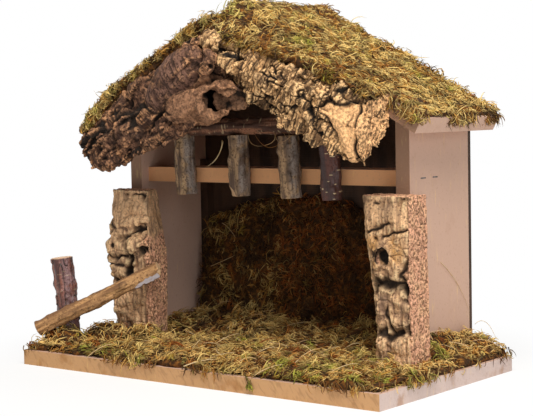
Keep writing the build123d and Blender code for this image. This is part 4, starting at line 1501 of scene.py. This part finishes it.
# Each straw bends from its first place towards the second and ends at the third, in millimetres.
WHITE_FIBRES = (
    ((-40, 6, 181), (-41, 6, 166), (-59, 6, 158)),
    ((-39, 6, 180), (-42, 6, 168), (-52, 6, 161)),
)
LINTEL_LOOPS = (
    ((-6, -3, 187), (-4, -5, 174), (13, -6, 177)),
    ((13, -6, 177), (28, -6, 180), (20, -4, 188)),
    ((0, -3, 187), (16, -8, 168), (30, -6, 180)),
    ((22, -4, 187), (26, -8, 172), (42, -5, 187)),
    ((30, -4, 187), (40, -8, 176), (36, -5, 189)),
)
LEANING_STRAWS = (
    ((-89, 62, 108), (-78, 58, 106), (-72, 60, 95)),
    ((-101, 60, 70), (-88, 56, 74), (-73, 60, 81)),
    ((140.6, 45, 87), (141.5, 72, 70), (141, 88, 42)),
    ((150, 79, 36), (157, 88, 46), (170, 82, 17)),
)


class Straws(typing.NamedTuple):
    """Straws that lie at random on a patch of moss: how many, how brown and their two seeds."""

    node: str
    count: int
    brown: float
    fall_seed: int
    look_seed: int


STREWN = (
    Straws(GROUND_FRONT, 34, 0.25, 531, 541),
    Straws(GROUND_INSIDE, 10, 0.4, 532, 542),
    Straws(GROUND_RIGHT, 8, 0.3, 533, 543),
)


def cad_faces(node):
    """Corner points of each triangle of a CAD node."""
    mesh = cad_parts[node].data
    mesh.calc_loop_triangles()
    points = read(mesh.vertices, "co", 3, float)
    return points[read(mesh.loop_triangles, "vertices", 3, np.int32)]


def scatter(node, facing, least, spacing, rng):
    """Random points on the faces of a CAD node that look towards facing, with their normals."""
    faces = cad_faces(node)
    edge_a = faces[:, 1] - faces[:, 0]
    edge_b = faces[:, 2] - faces[:, 0]
    cross = np.cross(edge_a, edge_b)
    area = np.linalg.norm(cross, axis=-1) / 2
    normals = cross / np.maximum(2 * area, 1e-12)[:, None]
    area = np.where(normals @ np.asarray(facing) > least, area, 0)
    count = min(int(area.sum() / spacing**2), MOST_STRANDS)
    pick = rng.choice(len(faces), count, p=area / area.sum())
    share_a, share_b = rng.random((2, count, 1))
    over = share_a + share_b > 1
    share_a = np.where(over, 1 - share_a, share_a)
    share_b = np.where(over, 1 - share_b, share_b)
    return faces[pick, 0] + share_a * edge_a[pick] + share_b * edge_b[pick], normals[pick]


def scatter_on(lumps, facing, count, rng):
    """Random points on the sides of some lumps that look towards facing, with their normals."""
    spots = []
    normals = []
    for lump in lumps:
        ways = unit(rng.normal(0, 1, (count * 4, 3)))
        turn = np.array(lump.matrix().to_3x3())
        outward = unit(ways @ np.linalg.inv(turn))
        kept = np.flatnonzero(outward @ np.asarray(facing) > 0)[:count]
        spots.append(ways[kept] @ turn.T + np.array(lump.middle) * MM)
        normals.append(outward[kept])
    return np.concatenate(spots), np.concatenate(normals)


def strand_pattern(rings):
    """Triangles of one strand, and the place of each corner in its texture cell."""
    tip = rings * STRAND_SIDES
    faces = []
    layout = []
    for ring, side in itertools.product(range(rings - 1), range(STRAND_SIDES)):
        quad = [(side, ring), (side + 1, ring), (side + 1, ring + 1), (side, ring + 1)]
        for corners in ((0, 1, 2), (0, 2, 3)):
            faces.append([quad[c][1] * STRAND_SIDES + quad[c][0] % STRAND_SIDES for c in corners])
            layout.append([quad[c] for c in corners])
    last = rings - 1
    for side in range(STRAND_SIDES):
        faces.append([last * STRAND_SIDES + side, last * STRAND_SIDES + (side + 1) % STRAND_SIDES, tip])
        layout.append([(side, last), (side + 1, last), (side + 0.5, rings)])
    faces.append([2, 1, 0])
    layout.append([(2, 0), (1, 0), (0, 0)])
    return np.array(faces), np.array(layout) / (STRAND_SIDES, rings)


def grow(name, lines, overs, radius, marks):
    """One mesh of tapering strands along lines of points."""
    count = len(lines)
    rings = lines.shape[1] - 1
    steps = np.linspace(0, 1, rings + 1)
    along = unit(np.gradient(lines, axis=1))
    across = unit(np.cross(along, overs[:, None, :]))
    over = np.cross(across, along)
    width = radius[:, None] * (1 - STRAND_TAPER * steps**1.5)
    turns = 2 * np.pi * np.arange(STRAND_SIDES) / STRAND_SIDES
    ring = across[:, :-1, None] * np.cos(turns)[:, None] + over[:, :-1, None] * np.sin(turns)[:, None]
    tubes = lines[:, :-1, None] + ring * width[:, :-1, None, None]
    points = np.concatenate([tubes.reshape(count, -1, 3), lines[:, -1:]], axis=1)
    pattern, layout = strand_pattern(rings)
    size = points.shape[1]
    faces = (pattern + size * np.arange(count)[:, None, None]).reshape(-1, 3)
    mesh = bpy.data.meshes.new(name)
    mesh.vertices.add(count * size)
    mesh.vertices.foreach_set("co", points.astype(np.float32).ravel())
    mesh.loops.add(faces.size)
    mesh.loops.foreach_set("vertex_index", faces.astype(np.int32).ravel())
    mesh.polygons.add(len(faces))
    mesh.polygons.foreach_set("loop_start", np.arange(0, faces.size, 3, dtype=np.int32))
    mesh.update(calc_edges=True)
    grid = math.ceil(math.sqrt(count))
    cell = np.stack([np.arange(count) % grid, np.arange(count) // grid], axis=-1)
    texture = (cell[:, None, None] + CELL_MARGIN + (1 - 2 * CELL_MARGIN) * layout) / grid
    mesh.uv_layers.new(name="OFBake").data.foreach_set("uv", texture.astype(np.float32).ravel())
    height = np.append(np.repeat(steps[:-1], STRAND_SIDES), 1.0)
    write_marks(mesh, {"along": np.tile(height, count)})
    write_marks(mesh, {key: np.repeat(values, size) for key, values in marks.items()})
    mesh.shade_smooth()
    piece = bpy.data.objects.new(name, mesh)
    bpy.context.scene.collection.objects.link(piece)
    return piece


def strand_lines(spots, normals, tufts, sizes, clumps, gaps, seed, rng):
    """Curved lines of moss strands that start at spots; strands of a clump lie alike."""
    count = len(spots)
    steps = np.linspace(0, 1, STRAND_RINGS + 1)
    heading = np.asarray(tufts.heading)
    flow = unit(heading - normals * (normals @ heading)[:, None] + 1e-6)
    side = np.cross(normals, flow)
    turn = 3 * tufts.spread * (clumps[:, 0] - 0.5) + rng.normal(0, 0.3 + 0.4 * tufts.spread, count)
    ahead_way = flow * np.cos(turn)[:, None] + side * np.sin(turn)[:, None]
    side_way = np.cross(normals, ahead_way)
    size = sizes.strand_length * rng.lognormal(0, LENGTH_SPREAD, count)
    curl = rng.normal(0, CURL_SPREAD, count)[:, None] * (steps - 0.3)
    stride = size[:, None] / STRAND_RINGS
    ahead = np.cumsum(np.cos(curl) * stride, axis=1)
    aside = np.cumsum(np.sin(curl) * stride, axis=1)
    pitch = tufts.lift * (0.3 + 1.4 * clumps[:, 2]) + rng.normal(0, 0.25, count)
    ahead = ahead * np.cos(pitch)[:, None]
    mound = roughness_of(spots, MOUND_WIDTH, seed) + 0.9 * (clumps[:, 1] - 0.5) - gaps
    mound = tufts.mound * mound - 0.3 * MM
    rise = (size * np.sin(pitch))[:, None] * steps * (1.3 - 0.6 * steps) + mound[:, None]
    rise = rise + rng.uniform(-1.5, 0.5, count)[:, None] * MM
    lines = spots[:, None] + ahead_way[:, None] * (ahead - ahead.mean(axis=1, keepdims=True))[..., None]
    lines = lines + side_way[:, None] * (aside - aside.mean(axis=1, keepdims=True))[..., None]
    lines = lines + normals[:, None] * rise[..., None]
    drop = tufts.droop * rng.random(count)[:, None] * steps**2
    drop = drop + tufts.ridge_sink * bump(lines[..., 0], RIDGE_REACH)
    lines = lines - UP * drop[..., None]
    edge = tufts.front_edge + 4 * MM * ripple(spots, 12 * MM, 5)
    lines[..., 1] = np.maximum(lines[..., 1], edge[:, None])
    return lines


def moss_marks(spots, tufts, clumps, gaps, seed, rng):
    """Tone and tint of each strand; strands of a clump look alike."""
    count = len(spots)
    patch = ripple(spots, PATCH_WIDTH, seed)
    tone = rng.normal(tufts.tone, 0.28, count) + 0.8 * (clumps[:, 1] - 0.5) + 0.14 * patch
    fresh = smooth_step(0.82, 0.97, clumps[:, 0]) + 0.25 * smooth_step(0.1, 0.7, patch)
    for spot in tufts.green_spots:
        fresh = fresh + 2.2 * bump(np.linalg.norm(spots - np.array(spot) * MM, axis=-1), GREEN_REACH)
    green = np.clip(tufts.green * fresh * rng.uniform(0.3, 1.3, count), 0, 0.9)
    rusty = smooth_step(0.2, 0.05, clumps[:, 1])
    rusty = rusty + smooth_step(0, RUSSET_REACH, spots[:, 0] - tufts.russet_from)
    russet = np.clip(tufts.russet * (0.25 + rusty) * rng.uniform(0.2, 1.4, count), 0, 1) * (1 - green)
    # Painted shade: dim beds darken, more in some patches; strands in the gaps between clumps and in
    # flat-lying clumps darken too.
    dim_shade = tufts.dim * (rng.uniform(0.4, 1.4, count) + 2.5 * smooth_step(0.1, 0.5, -patch))
    flat_clump_shade = smooth_step(0.3, 0.1, clumps[:, 2])
    deep = np.clip(dim_shade + 0.65 * gaps + 0.5 * flat_clump_shade, 0, 1)
    return {"tone": np.clip(tone, 0, 1), "green": green, "russet": russet, "deep": deep}


def make_mat(node, tufts, sizes, finish, seed):
    """The felt of a patch of moss, in the space that its CAD solid holds."""
    skin = Skin(node + "_felt", solid_copy(node, MOSS_HEAPS.get(node, ())), sizes.moss_detail, ease=1)
    floor = skin.points[:, 2].min() + FELT_FOOT
    free = smooth_step(floor, floor + 2 * MM, skin.points[:, 2])
    if tufts.ridge_sink:
        free *= smooth_step(*RIDGE_FLAT, np.abs(skin.points[:, 0]))
    skin.push += free * (tufts.mound * roughness_of(skin.points, MOUND_WIDTH, seed) - FELT_SINK)
    skin.write({})
    dress(skin.piece, finish, "moss", node)


def make_strands(name, spots, normals, patch, sizes, finishes, rng):
    """One piece of the moss strands of a bed, heap or fringe, which grow from spots."""
    tufts, seed = patch.tufts, patch.seed
    first, second, _, clumps = split_cells(spots, sizes.clump_size, seed)
    # gaps: strands near the edge of a clump, which sit lower and take painted shade.
    gaps = 1 - smooth_step(0.05, 0.35, second - first)
    lines = strand_lines(spots, normals, tufts, sizes, clumps, gaps, seed, rng)
    radius = sizes.strand_radius * rng.lognormal(0, RADIUS_SPREAD, len(spots))
    piece = grow(name, lines, normals, radius, moss_marks(spots, tufts, clumps, gaps, seed, rng))
    dress(piece, finishes["moss"], "moss", patch.node)


def make_bed(bed, sizes, finishes):
    """A felt and the layers of strands that grow on it."""
    make_mat(bed.node, bed.tufts, sizes, finishes["mat"], bed.seed)
    for layer in range(bed.layers):
        rng = np.random.default_rng(bed.seed + LAYER_SEEDS * layer)
        spots, normals = scatter(bed.node, bed.facing, bed.least, sizes.strand_spacing, rng)
        make_strands(f"{bed.node}_strands_{layer + 1}", spots, normals, bed, sizes, finishes, rng)


def make_heap(heap, sizes, finishes):
    """Strands on the heaps of a patch of moss."""
    rng = np.random.default_rng(heap.seed)
    spots, normals = scatter_on(MOSS_HEAPS[heap.node], heap.facing, heap.count, rng)
    make_strands(heap.name, spots, normals, heap, sizes, finishes, rng)


def make_fringe(fringe, sizes, finishes):
    """Strands along an edge, in bunches."""
    rng = np.random.default_rng(fringe.seed)
    start, count, tries = np.array(fringe.start), fringe.count, fringe.count * FRINGE_TRIES
    spots = start + rng.random((tries, 1)) * (fringe.end - start)
    spots = (spots + rng.normal(0, fringe.spread, (tries, 3))) * MM
    order = ripple(spots, MOUND_WIDTH, fringe.seed) + rng.normal(0, 0.25, tries)
    spots = spots[np.argsort(order)[:count]]
    normals = np.repeat(unit(np.array(fringe.facing))[None], count, axis=0)
    make_strands(fringe.name, spots, normals, fringe, sizes, finishes, rng)


def bend(start, middle, end):
    """A smooth curve between two places that leans towards a third, all in millimetres."""
    share = np.linspace(0, 1, STRAW_RINGS + 1)[:, None]
    first, lean, last = (np.array(place) * MM for place in (start, middle, end))
    return first * (1 - share) ** 2 + lean * 2 * share * (1 - share) + last * share**2


def make_straws(name, node, slot, lines, radius, brown, seed, finish):
    """One piece of loose straws along lines of points; brown is the mean share of brown."""
    rng = np.random.default_rng(seed)
    count = len(lines)
    overs = unit(rng.normal(0, 1, (count, 3)))
    marks = {"tone": np.clip(rng.normal(brown, 0.2, count), 0, 1)}
    piece = grow(name, np.array(lines), overs, radius * rng.uniform(0.8, 1.2, count), marks)
    dress(piece, finish, slot, node)


def fallen_straws(straws):
    """Lines of straws that lie at random on a patch of moss."""
    rng = np.random.default_rng(straws.fall_seed)
    spots, _ = scatter(straws.node, UP, 0.4, STREWN_SPACING, rng)
    lines = []
    for spot in spots[: straws.count] / MM:
        turn = rng.uniform(0, 2 * math.pi)
        half = rng.uniform(7, 17)
        way = half * np.array((math.cos(turn), math.sin(turn), rng.uniform(-0.25, 0.5)))
        middle = spot + np.array((*rng.normal(0, 3, 2), rng.uniform(4, 9)))
        lines.append(bend(spot - way, middle, spot + way + 2 * UP))
    return lines


def shared_finish(name, make, colours):
    """A finish that several steps use, made once."""
    return bpy.data.materials.get(name) or make(colours)


def moss_finishes(colours):
    """The finishes of moss and straw."""
    return {
        "mat": shared_finish("moss_felt", mat_finish, colours),
        "moss": shared_finish("dried_moss", moss_finish, colours),
        "straw": shared_finish("dry_straw", straw_finish, colours),
    }


# Stage


class Lamp(typing.NamedTuple):
    """A square lamp: its place and width in metres, and its tint."""

    place: tuple
    size: float
    tint: tuple


KEY_LAMP = Lamp((0.6, -0.6, 1.4), 0.9, (1.0, 0.95, 0.88))
FILL_LAMP = Lamp((1.35, -0.6, 0.45), 0.5, (0.86, 0.93, 1.0))
LAMP_TARGET = (0, 0, 0.12)
FLOOR_HALF = 6
SHADOW_REACH = (0.1, 0.32)
SHADOW_GLOW = 0.55
WHITE = (1, 1, 1, 1)
NEAREST_VIEW = 0.05


# Operators


class StableOperator:
    """Shared options and settings of the stable's operators."""

    bl_options = {"REGISTER", "UNDO"}

    @staticmethod
    def settings(context):
        """The sizes and the colours of the scene."""
        return context.scene.stable_sizes, context.scene.stable_colours


class STABLE_OT_boards(StableOperator, bpy.types.Operator):
    """Finish the fibreboard base, walls, batten and roof, the hardboard and the staples"""

    bl_idname = "stable.boards"
    bl_label = "Boards"

    def execute(self, context):
        _, colours = self.settings(context)
        # Painted shade on the wall edges; painted light on the batten's front and on the base's right side.
        wall = board_finish("wall_fibreboard", colours, colours.board_edge_painted_shade, colours.board)
        base = board_finish("base_fibreboard", colours, colours.base_front, colours.base_side_painted_light, worn=0.3)
        batten = board_finish("batten_fibreboard", colours, colours.batten, colours.board)
        refinish(wall, "left_wall", "right_wall", "left_roof_board", "right_roof_board")
        refinish(batten, "front_batten")
        refinish(base, "base_board")
        refinish(panel_finish(colours), "back_panel", "rear_corner_strip_left", "rear_corner_strip_right")
        staples = ("base_staples", "batten_staples", "back_panel_staples", "roof_staples")
        refinish(steel_finish(colours), *staples)
        return {"FINISHED"}


class STABLE_OT_roof_barks(StableOperator, bpy.types.Operator):
    """Make the two cork bark slabs on the roof front"""

    bl_idname = "stable.roof_barks"
    bl_label = "Roof barks"

    def execute(self, context):
        sizes, colours = self.settings(context)
        make_right_roof_bark(sizes, cork_finish("plated_cork", colours))
        make_left_roof_bark(sizes, cork_finish("craggy_cork", colours))
        return {"FINISHED"}


class STABLE_OT_bark_posts(StableOperator, bpy.types.Operator):
    """Make the two cork bark posts before the walls"""

    bl_idname = "stable.bark_posts"
    bl_label = "Bark posts"

    def execute(self, context):
        sizes, colours = self.settings(context)
        for post in (LEFT_POST, RIGHT_POST):
            make_bark_post(post, sizes, cork_finish(post.node + "_cork", colours))
        return {"FINISHED"}


class STABLE_OT_branches(StableOperator, bpy.types.Operator):
    """Make the lintel log with its fibres, the hanging sticks and the fence"""

    bl_idname = "stable.branches"
    bl_label = "Branches"

    def execute(self, context):
        sizes, colours = self.settings(context)
        finishes = {name: branch_finish(name, colours) for name in BARKS}
        for branch in BRANCHES:
            make_branch(branch, sizes, finishes[branch.bark])
        straw, radius = moss_finishes(colours)["straw"], sizes.straw_radius
        node, slot, thin = "lintel_log", "branch", radius * LOOP_SHARE
        white = [bend(*places) for places in WHITE_FIBRES]
        make_straws("lintel_white_fibres", node, slot, white, radius, brown=0, seed=611, finish=straw)
        loops = [bend(*places) for places in LINTEL_LOOPS]
        make_straws("lintel_loops", node, slot, loops, thin, brown=0.75, seed=612, finish=straw)
        return {"FINISHED"}


class STABLE_OT_roof_moss(StableOperator, bpy.types.Operator):
    """Grow the moss on the roof"""

    bl_idname = "stable.roof_moss"
    bl_label = "Roof moss"

    def execute(self, context):
        sizes, colours = self.settings(context)
        finishes = moss_finishes(colours)
        for bed in ROOF_BEDS:
            make_bed(bed, sizes, finishes)
        make_fringe(RIDGE_FRINGE, sizes, finishes)
        make_heap(VERGE_HEAP, sizes, finishes)
        for fringe in ROOF_FRINGES:
            make_fringe(fringe, sizes, finishes)
        return {"FINISHED"}


class STABLE_OT_ground_moss(StableOperator, bpy.types.Operator):
    """Grow the moss on the base and on the back panel, and strew straw on it"""

    bl_idname = "stable.ground_moss"
    bl_label = "Ground moss"

    def execute(self, context):
        sizes, colours = self.settings(context)
        finishes = moss_finishes(colours)
        for bed in GROUND_BEDS:
            make_bed(bed, sizes, finishes)
        make_heap(FENCE_HEAP, sizes, finishes)
        for fringe in GROUND_FRINGES:
            make_fringe(fringe, sizes, finishes)
        straw, radius = finishes["straw"], sizes.straw_radius
        leaning = [bend(*places) for places in LEANING_STRAWS]
        thin = radius * LEANING_SHARE
        make_straws("leaning_straws", "back_moss", "moss", leaning, thin, brown=0.3, seed=521, finish=straw)
        for straws in STREWN:
            name, lines = straws.node + "_straws", fallen_straws(straws)
            make_straws(name, straws.node, "moss", lines, radius, straws.brown, straws.look_seed, straw)
        return {"FINISHED"}


class STABLE_OT_stage(StableOperator, bpy.types.Operator):
    """Set the floor, the white surroundings, the lamps and the camera"""

    bl_idname = "stable.stage"
    bl_label = "Stage"

    def execute(self, context):
        stage = context.scene.stable_stage
        context.scene.view_settings.view_transform = "Standard"
        self.make_floor(context)
        self.make_sky(context, stage)
        self.make_lamp("key", KEY_LAMP, stage.key_power)
        self.make_lamp("fill", FILL_LAMP, stage.fill_power)
        self.make_camera(context, stage)
        return {"FINISHED"}

    @staticmethod
    def seen(shader):
        """1 for what the camera sees, straight or in a reflection or through glass."""
        rays = [
            shader.node("ShaderNodeLightPath", {}, {}, name)
            for name in ("Is Camera Ray", "Is Glossy Ray", "Is Transmission Ray")
        ]
        return shader.sum("MINIMUM", rays[0] + rays[1] + rays[2], 1.0)

    def make_floor(self, context):
        """A floor that looks white and keeps a soft shadow near the stable."""
        form = bmesh.new()
        bmesh.ops.create_grid(form, x_segments=1, y_segments=1, size=FLOOR_HALF)
        mesh = bpy.data.meshes.new("floor")
        form.to_mesh(mesh)
        form.free()
        floor = bpy.data.objects.new("floor", mesh)
        context.scene.collection.objects.link(floor)
        finish, shader = new_finish("pale_floor")
        away = shader.node("ShaderNodeVectorMath", {"operation": "LENGTH"}, {0: shader.place()}, "Value")
        share = self.seen(shader) * shader.between(away, *SHADOW_REACH, SHADOW_GLOW, 1.0)
        base = (*context.scene.stable_colours.floor, 1)
        matt = shader.node("ShaderNodeBsdfDiffuse", {}, {"Color": base})
        glow = shader.node("ShaderNodeEmission", {}, {"Color": WHITE, "Strength": 1.0})
        mixed = shader.node("ShaderNodeMixShader", {}, {0: share, 1: matt, 2: glow})
        shader.node("ShaderNodeOutputMaterial", {}, {"Surface": mixed})
        mesh.materials.append(finish)

    def make_sky(self, context, stage):
        """White surroundings that shed less light than they show."""
        world = bpy.data.worlds.new("white_surroundings")
        world.use_nodes = True
        context.scene.world = world
        shader = Shader(world.node_tree)
        strength = stage.sky + self.seen(shader) * (1 - stage.sky)
        glow = shader.node("ShaderNodeBackground", {}, {"Color": WHITE, "Strength": strength})
        shader.node("ShaderNodeOutputWorld", {}, {"Surface": glow})

    @staticmethod
    def make_lamp(name, lamp, watts):
        """A lamp that shines at the stable."""
        light = bpy.data.lights.new(name, "AREA")
        light.size = lamp.size
        light.energy = watts
        light.color = lamp.tint
        piece = bpy.data.objects.new(name, light)
        piece.location = lamp.place
        aim = Vector(LAMP_TARGET) - Vector(lamp.place)
        piece.rotation_euler = aim.to_track_quat("-Z", "Y").to_euler()
        bpy.context.scene.collection.objects.link(piece)

    @staticmethod
    def make_camera(context, stage):
        """The camera that sees the stable from the front and the right."""
        lens = bpy.data.cameras.new("camera")
        lens.sensor_fit = "HORIZONTAL"
        lens.sensor_width = SENSOR
        lens.lens = stage.focal / PICTURE_WIDTH * SENSOR
        lens.clip_start = NEAREST_VIEW
        camera = bpy.data.objects.new("camera", lens)
        right = Vector((math.cos(stage.azimuth), math.sin(stage.azimuth), 0))
        level = Vector((math.sin(stage.azimuth), -math.cos(stage.azimuth), 0))
        back = level * math.cos(stage.elevation) + Vector((0, 0, math.sin(stage.elevation)))
        target = right * stage.aim_aside + Vector((0, 0, stage.aim_height))
        axes = Matrix((right, back.cross(right), back)).transposed()
        turn = axes @ Matrix.Rotation(stage.roll, 3, "Z")
        camera.matrix_world = Matrix.Translation(target + back * stage.distance) @ turn.to_4x4()
        context.scene.collection.objects.link(camera)
        context.scene.camera = camera


class STABLE_PT_panel(bpy.types.Panel):
    """Lists the steps that dress the stable, with their sizes and colours"""

    bl_idname = "STABLE_PT_panel"
    bl_label = "Wooden Nativity Stable"
    bl_space_type = "VIEW_3D"
    bl_region_type = "UI"
    bl_category = "Stable"

    def draw(self, context):
        for step in STEPS:
            self.layout.operator(step.bl_idname)
        for group in GROUPS:
            settings = getattr(context.scene, group)
            box = self.layout.box()
            for name in settings.__annotations__:
                box.prop(settings, name)


STEPS = (
    STABLE_OT_boards,
    STABLE_OT_roof_barks,
    STABLE_OT_bark_posts,
    STABLE_OT_branches,
    STABLE_OT_roof_moss,
    STABLE_OT_ground_moss,
    STABLE_OT_stage,
)
GROUPS = {"stable_sizes": StableSizes, "stable_colours": StableColours, "stable_stage": StageSettings}
CLASSES = (*GROUPS.values(), *STEPS, STABLE_PT_panel)


def register():
    """Adds the classes and their settings."""
    for made in CLASSES:
        bpy.utils.register_class(made)
    for name, group in GROUPS.items():
        setattr(bpy.types.Scene, name, bpy.props.PointerProperty(type=group))


def unregister():
    """Takes the settings and the classes away."""
    for name in GROUPS:
        delattr(bpy.types.Scene, name)
    for made in reversed(CLASSES):
        bpy.utils.unregister_class(made)


def main():
    """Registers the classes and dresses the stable."""
    register()
    bpy.ops.stable.boards()
    bpy.ops.stable.roof_barks()
    bpy.ops.stable.bark_posts()
    bpy.ops.stable.branches()
    bpy.ops.stable.roof_moss()
    bpy.ops.stable.ground_moss()
    bpy.ops.stable.stage()


if __name__ == "__main__":
    main()
